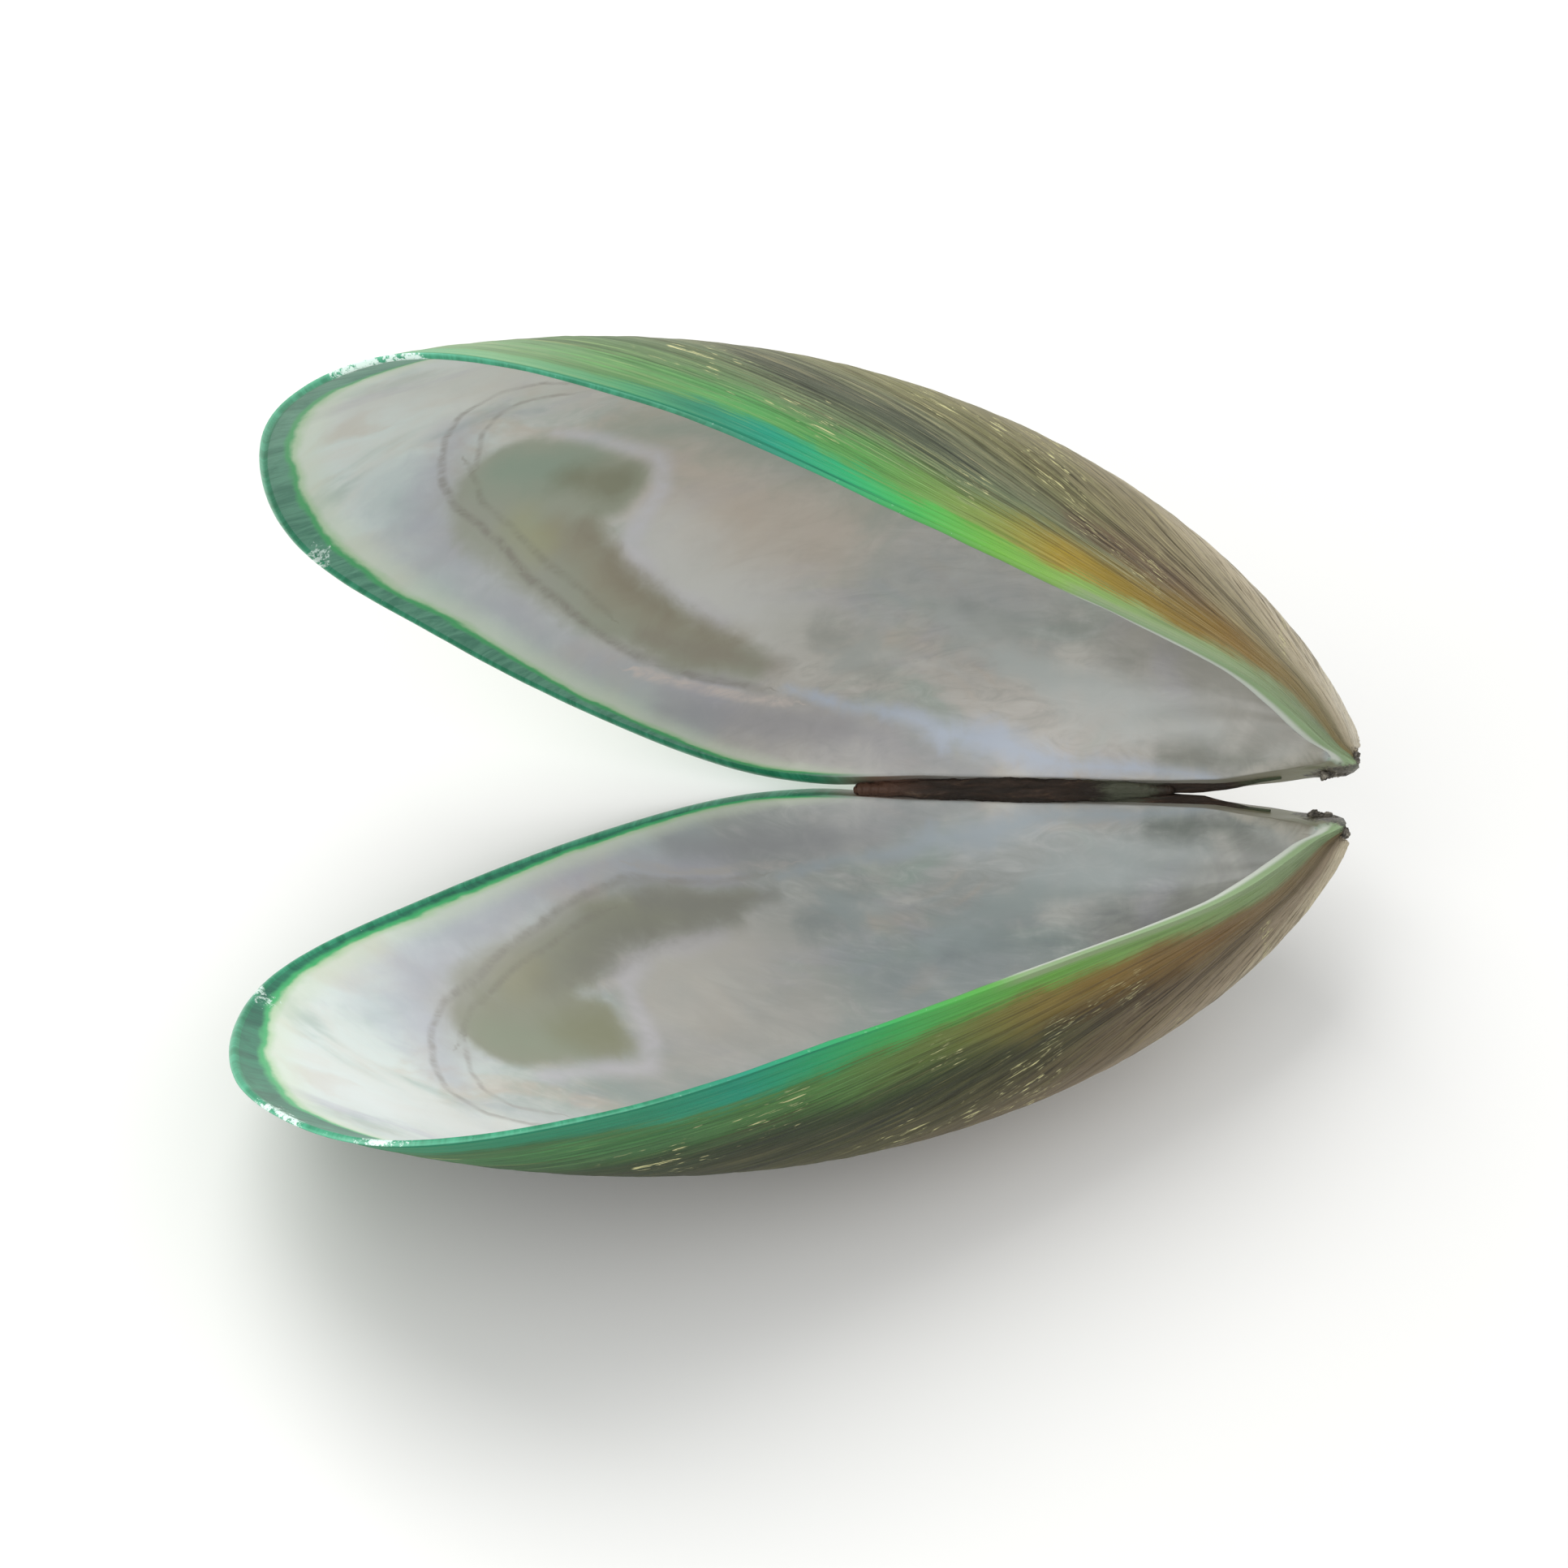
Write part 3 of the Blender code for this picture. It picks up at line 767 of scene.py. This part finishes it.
    # The cut rim: emerald, turning to the young shell's green in front; bare nacre along the hinge;
    # a thick lip in front, white inside; and chalky chips.
    share = put(DIVIDE, a, RAMP_LENGTH)
    emerald = put(BLEND, put(SMOOTH_RANGE, striae, 0.35, 0.7), settings.rim_colour, "#3b9f79")
    # Painted highlight: a pale line along the rim's outer edge.
    rim_edge_highlight = put(SMOOTH_RANGE, layer, 0.25, 0.05, 0.0, 0.4)
    rim = put(BLEND, rim_edge_highlight, emerald, "#74c3a0")
    rim = put(BLEND, young_rim, rim, put(RAMP, share, stops=finish["young"]))
    bare = put(RAMP, share, stops=BARE_RIM)
    pale = put(BLEND, put(SMOOTH_RANGE, layer, 0.35, 0.75), "#8fa97c", "#ced4c8")
    flecks = put(NOISE, place, 1.4, 6.0, 0.8)
    stray = put(SMOOTH_RANGE, flecks, 0.63, 0.67, 0.0, 0.6)
    rim = put(BLEND, stray, rim, "#c9e6d8")
    rim = put(BLEND, hinge, rim, bare)
    rim = put(BLEND, lip, rim, pale)
    colour = put(BLEND, put(SMOOTH_RANGE, layer, 1.0, 0.9), colour, rim)
    uneven_growth = put(ADD, put(RANGE, uneven, 0.0, 1.0, -0.03, 0.03), growth)
    white_lip = put(MULTIPLY, put(SMOOTH_RANGE, uneven_growth, 0.935, 0.965, 0.0, 0.75), lip)
    white_lip = put(MULTIPLY, white_lip, put(RANGE, a, 4.0, 14.0, 0.3, 1.0))
    white_lip = put(MULTIPLY, white_lip, put(RANGE, layer, 0.85, 0.95))
    colour = put(BLEND, white_lip, colour, "#cdd2c9")
    chipped = put(MULTIPLY_ADD, flecks, -9.0, chips)
    colour = put(BLEND, put(SMOOTH_RANGE, chipped, -4.6, -5.3, 0.0, 0.9), colour, "#dcefe6")

    # The gnarled corner of the beak, dark and dirty.
    specks = put(NOISE, place, 3.2, 4.0, 0.7)
    dirty = put(MULTIPLY_ADD, flecks, 3.0, gnarl)
    dirt = put(RAMP, specks, stops=BEAK_DIRT)
    colour = put(BLEND, put(SMOOTH_RANGE, dirty, 1.9, 1.2, 0.0, 0.9), colour, dirt)

    surface = {"Roughness": 0.42, "IOR": 1.53, "Coat Weight": 0.2, "Coat Roughness": 0.2, "Coat IOR": 1.5}
    finish_material(tree, colour, silk, 0.25, 0.0001, surface)
    return made


def periostracum(name, finish):
    """Periostracum, the shell's own horny skin, dried and worn: olive and brown with fine growth lines,
    bright green where the youngest shell shows near the edge, satin like old varnish."""
    made, tree = new_material(name)
    put = functools.partial(add, tree)
    ring, place = (put(SURFACE, attribute_name=name).outputs["Vector"] for name in ("ring", "place"))
    from_rim, lip, from_dusk, gnarl = (
        put(SURFACE, attribute_name=name).outputs["Fac"]
        for name in ("from_rim", "front_lip", "dusk", "gnarl")
    )
    growth = put(SPLIT, ring).outputs["Z"]
    at = put(SPLIT, place)
    a, depth = at.outputs["X"], at.outputs["Z"]

    # Growth lines: broad zones, fibres about 1 mm apart and threads about 0.3 mm apart.
    zones = put(NOISE, put(STRETCH, ring, (1.3, 1.3, 14.0)), 1.0, 3.0)
    fibres = put(NOISE, put(STRETCH, ring, (1.7, 1.7, 110.0)), 1.0, 8.0, 0.72)
    threads = put(NOISE, put(STRETCH, ring, (4.5, 4.5, 300.0)), 1.0, 4.0, 0.75)
    blots = put(NOISE, place, 0.12, 4.0, 0.6)

    # Skin by age, browner at the front, and darker patches.
    age = put(ADD, put(RANGE, zones, 0.0, 1.0, -0.12, 0.12), growth)
    age = put(ADD, put(RANGE, fibres, 0.0, 1.0, -0.05, 0.05), age)
    colour = put(RAMP, age, stops=finish["skin"])
    front_colour, front_cover = finish["front"]
    older = put(SMOOTH_RANGE, growth, 0.30, 0.60, 0.0, front_cover)
    front = put(SMOOTH_RANGE, put(MULTIPLY_ADD, fibres, 14.0, a), 34.0, 22.0)
    colour = put(BLEND, put(MULTIPLY, older, front), colour, front_colour)
    *dusk_tints, dusk_cover = finish["dusk"]
    dusk_colour = put(BLEND, put(RANGE, a, 27.0, 33.0), *dusk_tints)
    dusk = put(MULTIPLY_ADD, fibres, 7.0, from_dusk)
    dusk = put(SMOOTH_RANGE, dusk, 5.4, 2.8, 0.0, dusk_cover)
    colour = put(BLEND, dusk, colour, dusk_colour)

    # Young shell towards the rim: a gold to green zone, then a bright edge, each streaked along the fibres.
    along = put(ADD, put(RANGE, fibres, 0.0, 1.0, -3.0, 3.0), a)
    along = put(DIVIDE, along, RAMP_LENGTH)
    near = put(ADD, put(RANGE, fibres, 0.0, 1.0, -5.0, 5.0), from_rim)
    near = put(ADD, put(RANGE, blots, 0.0, 1.0, -3.0, 3.0), near)
    gold = put(RAMP, along, stops=finish["gold"])
    grown = put(SMOOTH_RANGE, growth, 0.40, 0.58, 0.0, 0.95)
    share = put(MULTIPLY, put(SMOOTH_RANGE, near, *finish["gold_reach"]), grown)
    colour = put(BLEND, share, colour, gold)
    share = put(MULTIPLY, put(RANGE, threads, 0.56, 0.64, 0.0, 0.5), put(RANGE, near, 16.0, 9.0))
    share = put(MULTIPLY, share, put(SMOOTH_RANGE, a, 30.0, 42.0))
    colour = put(BLEND, share, colour, finish["streak"])
    young = put(RAMP, along, stops=finish["young"])
    nearer = put(ADD, put(SMOOTH_RANGE, a, 34.0, 50.0, 0.0, -0.9), near)
    nearer = put(ADD, put(SMOOTH_RANGE, a, 52.0, 68.0, 0.0, 1.9), nearer)
    share = put(SMOOTH_RANGE, nearer, *finish["young_reach"])
    share = put(MULTIPLY, put(SMOOTH_RANGE, growth, 0.60, 0.76), share)
    colour = put(BLEND, share, colour, young)
    # Painted shadow: a dark green line just under the rim, from the middle of the valve to its rear.
    share = put(MULTIPLY, put(SMOOTH_RANGE, from_rim, 1.1, 0.5, 0.0, 0.75), put(RANGE, a, 38.0, 46.0))
    colour = put(BLEND, share, colour, "#1d7a5c")

    # Fine light and dark fibres, strongest on the old shell.
    old = put(RANGE, near, 3.0, 11.0, 0.35, 1.0)
    fibrous = put(MULTIPLY, put(SMOOTH_RANGE, a, 62.0, 26.0, 0.65, 1.0), old)
    fibrous = put(MULTIPLY, put(SMOOTH_RANGE, depth, 12.0, 17.0, 1.0, 0.45), fibrous)
    pale_fibre, dark_fibre = finish["fibre"]
    for pattern, low, high, cover, tint, mode in (
        (fibres, 0.54, 0.68, 0.45, pale_fibre, "MIX"),
        (fibres, 0.47, 0.32, 0.95, dark_fibre, "MULTIPLY"),
        (threads, 0.56, 0.70, 0.60, pale_fibre, "MIX"),
        (threads, 0.47, 0.33, 0.95, dark_fibre, "MULTIPLY"),
    ):
        share = put(MULTIPLY, put(RANGE, pattern, low, high, 0.0, cover), fibrous)
        colour = put(BLEND, share, colour, tint, blend_type=mode)

    # Growth stops: a few darker lines, where the shell grew no more for a season.
    stop = put(NOISE, put(STRETCH, ring, (0.22, 0.22, 24.0)), 1.0, 2.0, 0.5)
    middle = put(ABSOLUTE, put(SUBTRACT, stop, 0.5))
    share = put(MULTIPLY, put(SMOOTH_RANGE, middle, 0.030, 0.004, 0.0, 0.55), fibrous)
    colour = put(BLEND, share, colour, dark_fibre, blend_type="MULTIPLY")

    # Pale yellow scratches where the skin flakes: short thin streaks along the fibres, in patches.
    scratch = put(NOISE, put(STRETCH, ring, (11.0, 11.0, 190.0)), 1.0, 3.0, 0.6, inputs={"Distortion": 0.6})
    thin = put(SMOOTH_RANGE, scratch, 0.600, 0.625, 0.0, 0.85)
    worn = put(SMOOTH_RANGE, blots, 0.56, 0.62)
    worn = put(MULTIPLY, worn, put(SMOOTH_RANGE, from_rim, 5.0, 9.0))
    colour = put(BLEND, put(MULTIPLY, thin, worn), colour, "#d9d49a")

    # The thick front lip is a dull pale green, and the corner of the beak is dirty.
    rolled = put(SMOOTH_RANGE, put(MULTIPLY_ADD, fibres, 2.4, from_rim), 3.2, 2.2, 0.0, 0.9)
    rolled = put(MULTIPLY, rolled, put(SMOOTH_RANGE, growth, 0.62, 0.80))
    colour = put(BLEND, put(MULTIPLY, rolled, lip), colour, "#8c9f76")
    specks = put(NOISE, place, 3.2, 4.0, 0.7)
    dirty = put(MULTIPLY_ADD, specks, 2.4, gnarl)
    dirt = put(RAMP, specks, stops=BEAK_DIRT)
    colour = put(BLEND, put(SMOOTH_RANGE, dirty, 1.3, 0.7, 0.0, 0.9), colour, dirt)

    height = put(MIX, 0.35, fibres, threads)
    finish_material(tree, colour, height, 0.5, 0.00025, {"Roughness": 0.55, "IOR": 1.35})
    return made


def worn_shell(name):
    """Old shell at the beak, eaten into and stained: brown-black with chalky grains about 0.3 mm across."""
    made, tree = new_material(name)
    put = functools.partial(add, tree)
    place = put("ShaderNodeTexCoord").outputs["Object"]
    grains = put(NOISE, place, 2200.0, 5.0, 0.7)
    stops = ((0.36, "#2a251f"), (0.50, "#59534a"), (0.60, "#837c70"), (0.70, "#bdb5a6"))
    colour = put(RAMP, grains, stops=stops)
    finish_material(tree, colour, grains, 0.7, 0.0002, {"Roughness": 0.65, "IOR": 1.45})
    return made


def dried_ligament(name, settings):
    """Ligament, a band of tanned protein, dried hard: dark brown, reddish at its rear end, mossy at its front
    end and green where it runs out along the hinge, with lengthwise cracks about 0.5 mm apart."""
    made, tree = new_material(name)
    put = functools.partial(add, tree)
    hinge = put(SURFACE, attribute_name="hinge").outputs["Vector"]
    grain = put(NOISE, put(STRETCH, hinge, (0.25, 2.2, 2.2)), 1.0, 6.0, 0.7, inputs={"Distortion": 0.4})
    stops = ((0.30, "#0e0a06"), (0.46, "#1f160d"), (0.60, "#35251a"), (0.74, "#6b5442"))
    brown = put(RAMP, grain, stops=stops)
    x = put(SPLIT, hinge).outputs["X"]
    ragged = put(MULTIPLY_ADD, grain, 8.0, x)
    colour = put(BLEND, 0.25, brown, settings.ligament_colour)
    mossy = put(ABSOLUTE, put(ADD, ragged, 15.5))
    for value, low, high, cover, tint in (
        (ragged, -32.0, -37.0, 0.60, "#61402f"),
        (mossy, 3.6, 1.2, 0.60, "#5d6350"),
        (ragged, -6.5, -3.5, 0.50, "#56694a"),
    ):
        share = put(SMOOTH_RANGE, value, low, high, 0.0, cover)
        colour = put(BLEND, share, colour, tint)
    finish_material(tree, colour, grain, 0.8, 0.0004, {"Roughness": 0.6, "IOR": 1.45})
    return made


def crack_lengthwise(tree, given, body):
    """The end that both bands' trees share: swells a body along its normals and cracks it lengthwise."""
    put = functools.partial(add, tree)
    place = put(PLACE)
    body = put(STORE_VECTORS, body, inputs={"Name": "hinge", "Value": place})
    grain = put(NOISE, put(STRETCH, place, (0.12, 1.5, 1.5)), 1.0, 5.0, 0.65)
    lumps = put(NOISE, place, 0.55, 3.0, 0.6)
    rough = put(SUBTRACT, put(ADD, grain, put(MULTIPLY, lumps, 0.7)), 0.85)
    height = put(MULTIPLY_ADD, rough, given["Crack Depth"], given["Swell"])
    body = raise_surface(tree, body, height)
    put("NodeGroupOutput", put(SET_MATERIAL, body, inputs={"Material": given["Material"]}))


def ligament_tree():
    """A dried band: the plain body, rounded and slimmed, drawn out into the wedges between the rims at
    both of its ends, swollen to meet the rims and cracked lengthwise."""
    tree, given = new_tree(
        "dried_band",
        Int=("Levels",),
        Vector=("Middle",),
        Float=("Half Length", "Wedge", "Slimming", "Taper", "Swell", "Crack Depth"),
        Material=("Material",),
    )
    put = functools.partial(add, tree)
    body = put("GeometryNodeSubdivisionSurface", given["Geometry"], given["Levels"])
    place = put(PLACE)
    away = put(SPLIT, put(VECTOR_MATH, place, given["Middle"], operation="SUBTRACT"))
    along = put(DIVIDE, away.outputs["X"], given["Half Length"])
    drawn = put(MULTIPLY, put(POWER, along, 7.0), given["Wedge"])
    ends = put(MULTIPLY, put(POWER, along, 4.0), given["Taper"])
    slimming = put(SUBTRACT, given["Slimming"], ends)
    slimmed = put(MULTIPLY, away.outputs["Y"], slimming)
    body = put(MOVE, body, inputs={"Offset": put(JOIN, drawn, slimmed)})
    crack_lengthwise(tree, given, body)
    return tree


def hinge_skin_tree():
    """A strip of skin along a rim: a flattened tube that follows the rim and tapers at its front end."""
    sizes = ("Half Height", "Taper", "Swell", "Crack Depth")
    tree, given = new_tree("hinge_skin", Float=sizes, Material=("Material",))
    put = functools.partial(add, tree)
    share = put("GeometryNodeSplineParameter").outputs["Factor"]
    front = put(SMOOTH_RANGE, share, 0.0, given["Taper"], 0.15, 1.0)
    rear = put(SMOOTH_RANGE, share, 1.0, 0.9, 0.3, 1.0)
    radius = put(MULTIPLY, front, rear)
    path = put("GeometryNodeSetCurveRadius", given["Geometry"], inputs={"Radius": radius})
    section = {"Resolution": SKIN_SIDES, "Radius": given["Half Height"]}
    profile = put("GeometryNodeCurvePrimitiveCircle", inputs=section)
    body = put("GeometryNodeCurveToMesh", path, profile, inputs={"Scale": radius, "Fill Caps": True})
    crack_lengthwise(tree, given, body)
    return tree


def beak_lump_tree():
    """Small rough lumps in a row along a path, of uneven size and turned at random."""
    numbers = {"Int": ("Count", "Seed"), "Float": ("Radius", "Roughness")}
    tree, given = new_tree("beak_lumps", **numbers, Material=("Material",))
    put = functools.partial(add, tree)
    row = put("GeometryNodeCurveToPoints", given["Geometry"], given["Count"])
    uneven, turned = (
        put("FunctionNodeRandomValue", *ends, inputs={"Seed": given["Seed"]}, data_type="FLOAT_VECTOR")
        for ends in (((0.55, 0.7, 0.7), (1.3, 1.05, 1.05)), ((0.0, 0.0, 0.0), (1.2, 1.2, 6.2)))
    )
    ball = put("GeometryNodeMeshIcoSphere", given["Radius"], 5)
    rough = put(NOISE, inputs={"Scale": 1.6, "Detail": 4.0, "Roughness": 0.6})
    height = put(MULTIPLY, put(SUBTRACT, rough, 0.5), given["Roughness"])
    each = {"Instance": raise_surface(tree, ball, height), "Rotation": turned, "Scale": uneven}
    lumps = put(REALIZE, put("GeometryNodeInstanceOnPoints", row, inputs=each))
    put("NodeGroupOutput", put(SET_MATERIAL, lumps, inputs={"Material": given["Material"]}))
    return tree


def rim_line(mesh, front, rear):
    """Numbers of the vertices along the crown of a valve's rim on the hinge side, from one a to another."""
    place = read(mesh, "place")
    ring = read(mesh, "ring")
    layer = read(mesh, "layer", "value", 1)
    crown = np.abs(layer - 0.5) < 0.5 / RIM_RINGS
    hinge_side = (ring[:, 1] > 0) & (place[:, 0] > front) & (place[:, 0] < rear) & (place[:, 1] < 0)
    chosen = np.nonzero(crown & hinge_side)[0]
    return chosen[np.argsort(place[chosen, 0])]


# What the colours and the powers among the settings share.
COLOUR = {"subtype": "COLOR", "min": 0.0, "max": 1.0}
POWER_UNIT = {"unit": "POWER", "min": 0.0}


class MusselShellSettings(bpy.types.PropertyGroup):
    """Sizes and colours of the shell that a user may change."""

    ridge_height: FloatProperty(
        name="Growth ridge height",
        description="Height of the growth ridges on the outside of the valves, in millimetres",
        default=0.35, min=0.0, max=2.0,
    )
    gnarl_height: FloatProperty(
        name="Beak roughness",
        description="Height of the uneven surface round the beaks, in millimetres",
        default=0.9, min=0.0, max=3.0,
    )
    lump_radius: FloatProperty(
        name="Beak lump radius",
        description="Radius of the worn lumps on the beaks, in millimetres",
        default=0.55, min=0.1, max=2.0,
    )
    crack_depth: FloatProperty(
        name="Crack depth",
        description="Depth of the lengthwise cracks in the dried ligament, in millimetres",
        default=0.9, min=0.0, max=2.0,
    )
    seed: IntProperty(name="Seed", description="Which random pattern of ridges the valves have", default=7)
    nacre_colour: FloatVectorProperty(
        name="Nacre colour",
        description="Plain colour of the nacre under its clouds",
        default=linear("#c5c1bb")[:3], **COLOUR,
    )
    rim_colour: FloatVectorProperty(
        name="Rim colour",
        description="Deep green of the cut rim",
        default=linear("#117a55")[:3], **COLOUR,
    )
    ligament_colour: FloatVectorProperty(
        name="Ligament colour",
        description="Brown that tints the dried ligament",
        default=linear("#3c2c20")[:3], **COLOUR,
    )
    floor_colour: FloatVectorProperty(
        name="Floor colour",
        description="Colour of the floor that the shell lies on",
        default=linear("#ecebe8")[:3], **COLOUR,
    )
    key_power: FloatProperty(
        name="Main light power",
        description="Power of the large soft light above the shell",
        default=5.0, **POWER_UNIT,
    )
    fill_power: FloatProperty(
        name="Fill light power",
        description="Power of the large soft light beside the camera",
        default=2.5, **POWER_UNIT,
    )


class MUSSEL_OT_valves(bpy.types.Operator):
    """Grows both valves from their margin, with nacre inside and skin outside."""

    bl_idname = "mussel.valves"
    bl_label = "Grow Valves"

    def execute(self, context):
        settings = context.scene.mussel_shell
        tree = valve_tree()
        for name, (side, depth, turns) in VALVES.items():
            margin = smooth_loop(MARGIN, MARGIN_POINTS)
            curve = line_curve(f"{name}_margin", np.column_stack((margin, np.zeros(len(margin)))), True)
            values = {
                "Segments": SEGMENTS,
                "Rings": RINGS,
                "Outer End": OUTER_RINGS / RINGS,
                "Rim End": (OUTER_RINGS + RIM_RINGS) / RINGS,
                "Coil Angle": COIL_ANGLE,
                "Seat Depth": SEAT_DEPTH,
                "Ridge Height": settings.ridge_height,
                "Swell Height": 0.5,
                "Gnarl Height": settings.gnarl_height,
                "Seed": settings.seed + side * 10.0,
                "Outside": periostracum(f"periostracum_{name}", FINISHES[name]),
                "Inside": nacre(f"nacre_{name}", FINISHES[name], settings),
            }
            mesh = grow(curve, tree, values)
            body = bmesh.new()
            body.from_mesh(mesh)
            if body.calc_volume(signed=True) < 0:
                bmesh.ops.reverse_faces(body, faces=body.faces)
            body.to_mesh(mesh)
            body.free()
            mark_valve(mesh, name)
            place_mesh(mesh, side, depth, turns)
            show(f"{name}_valve_shell", mesh, "shell", f"{name}_valve")
        return {"FINISHED"}


class MUSSEL_OT_beak_lumps(bpy.types.Operator):
    """Sets a row of small worn lumps on each beak."""

    bl_idname = "mussel.beak_lumps"
    bl_label = "Add Beak Lumps"

    def execute(self, context):
        settings = context.scene.mussel_shell
        tree = beak_lump_tree()
        worn = worn_shell("shell_worn")
        for name, (side, depth, turns) in VALVES.items():
            path = line_curve(f"{name}_beak_line", np.array(BEAK_LUMPS), False)
            values = {
                "Count": LUMP_COUNT,
                "Radius": settings.lump_radius,
                "Roughness": 0.7,
                "Seed": settings.seed + side,
                "Material": worn,
            }
            mesh = grow(path, tree, values)
            place_mesh(mesh, side, depth, turns)
            show(f"{name}_beak_lumps", mesh, "shell")
        return {"FINISHED"}


class MUSSEL_OT_ligament(bpy.types.Operator):
    """Makes the dried band that holds the valves together, and its skin along both rims."""

    bl_idname = "mussel.ligament"
    bl_label = "Make Ligament"

    def execute(self, context):
        settings = context.scene.mussel_shell
        brown = dried_ligament("ligament_dried", settings)
        to_hinge = Matrix.Scale(1 / MM, 4) @ HINGE_TO_ROW.inverted()
        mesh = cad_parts["ligament"].data.copy()
        mesh.materials.clear()
        mesh.transform(to_hinge)
        body = bmesh.new()
        body.from_mesh(mesh)
        bmesh.ops.remove_doubles(body, verts=body.verts, dist=0.001)
        body.to_mesh(mesh)
        body.free()
        corners = np.array([vertex.co for vertex in mesh.vertices])
        plain = bpy.data.objects.new("ligament_body", mesh)
        context.scene.collection.objects.link(plain)
        values = {
            "Levels": 3,
            "Middle": ((corners.min(axis=0) + corners.max(axis=0)) / 2).tolist(),
            "Half Length": float(np.ptp(corners[:, 0])) / 2,
            "Wedge": 0.6,
            "Slimming": -0.36,
            "Taper": 0.60,
            "Swell": 0.36,
            "Crack Depth": settings.crack_depth,
            "Material": brown,
        }
        band = grow(plain, ligament_tree(), values)
        band.transform(to_hinge.inverted())
        show("hinge_ligament", band, "ligament", "ligament")

        tree = hinge_skin_tree()
        for name, (side, _, _) in VALVES.items():
            valve = bpy.data.objects[f"{name}_valve_shell"].data
            sunk = Vector((0.0, SKIN_SINK[0] * side, SKIN_SINK[1]))
            points = np.array([to_hinge @ valve.vertices[i].co - sunk for i in rim_line(valve, *SKIN_SPAN)])
            path = line_curve(f"{name}_hinge_line", points, False)
            values = {
                "Half Height": 0.54,
                "Taper": 0.25,
                "Swell": 0.05,
                "Crack Depth": 0.5 * settings.crack_depth,
                "Material": brown,
            }
            strip = grow(path, tree, values)
            strip.transform(to_hinge.inverted())
            show(f"{name}_hinge_skin", strip, "ligament")
        return {"FINISHED"}


class MUSSEL_OT_stage(bpy.types.Operator):
    """Sets the floor, the soft light and the camera."""

    bl_idname = "mussel.stage"
    bl_label = "Set Stage"

    def execute(self, context):
        settings = context.scene.mussel_shell
        scene = context.scene
        mesh = bpy.data.meshes.new("floor")
        plane = bmesh.new()
        bmesh.ops.create_grid(plane, x_segments=1, y_segments=1, size=FLOOR_HALF_SIZE)
        plane.to_mesh(mesh)
        plane.free()
        floor = bpy.data.objects.new("floor", mesh)
        scene.collection.objects.link(floor)
        paper = bpy.data.materials.new("matt_paper")
        paper.use_nodes = True
        shader = paper.node_tree.nodes["Principled BSDF"]
        shader.inputs["Base Color"].default_value = (*settings.floor_colour, 1.0)
        shader.inputs["Roughness"].default_value = 0.9
        mesh.materials.append(paper)

        world = bpy.data.worlds.new("studio")
        world.use_nodes = True
        world.node_tree.nodes["Background"].inputs["Color"].default_value = linear("#f4f6f8")
        world.node_tree.nodes["Background"].inputs["Strength"].default_value = 0.8
        scene.world = world

        # Each light's way from the shell, in the photo's right, up and towards the camera.
        to_row = HINGE_TO_ROW.to_3x3()
        for name, power, way in (
            ("key_softbox", settings.key_power, (-0.25, 0.85, 0.55)),
            ("fill_softbox", settings.fill_power, (-0.45, 0.15, 0.90)),
        ):
            lamp = bpy.data.lights.new(name, "AREA")
            lamp.shape = "SQUARE"
            lamp.size = LAMP_SIZE
            lamp.energy = power
            box = bpy.data.objects.new(name, lamp)
            scene.collection.objects.link(box)
            away = (to_row @ Vector(way)).normalized()
            box.location = Vector(LAMP_AIM) + LAMP_DISTANCE * away
            box.rotation_euler = away.to_track_quat("Z", "Y").to_euler()

        camera_data = bpy.data.cameras.new("photo_camera")
        camera_data.lens = CAMERA_LENS
        camera_data.sensor_width = 36.0
        camera_data.clip_start = 0.01
        camera = bpy.data.objects.new("photo_camera", camera_data)
        scene.collection.objects.link(camera)
        camera.matrix_world = HINGE_TO_ROW @ Matrix.Translation(Vector(CAMERA_PLACE) * MM)
        scene.camera = camera
        scene.view_settings.view_transform = "Standard"
        return {"FINISHED"}


class MUSSEL_PT_panel(bpy.types.Panel):
    """Lists the shell's settings and its build steps."""

    bl_idname = "MUSSEL_PT_panel"
    bl_label = "Mussel Shell"
    bl_space_type = "VIEW_3D"
    bl_region_type = "UI"
    bl_category = "Mussel Shell"

    def draw(self, context):
        for name in MusselShellSettings.__annotations__:
            self.layout.prop(context.scene.mussel_shell, name)
        for operator in OPERATORS:
            self.layout.operator(operator.bl_idname)


OPERATORS = (MUSSEL_OT_stage, MUSSEL_OT_valves, MUSSEL_OT_beak_lumps, MUSSEL_OT_ligament)
CLASSES = (MusselShellSettings, *OPERATORS, MUSSEL_PT_panel)


def register():
    for item in CLASSES:
        bpy.utils.register_class(item)
    bpy.types.Scene.mussel_shell = PointerProperty(type=MusselShellSettings)


def unregister():
    del bpy.types.Scene.mussel_shell
    for item in reversed(CLASSES):
        bpy.utils.unregister_class(item)


def main():
    register()
    bpy.ops.mussel.stage()
    bpy.ops.mussel.valves()
    bpy.ops.mussel.beak_lumps()
    bpy.ops.mussel.ligament()


if __name__ == "__main__":
    main()
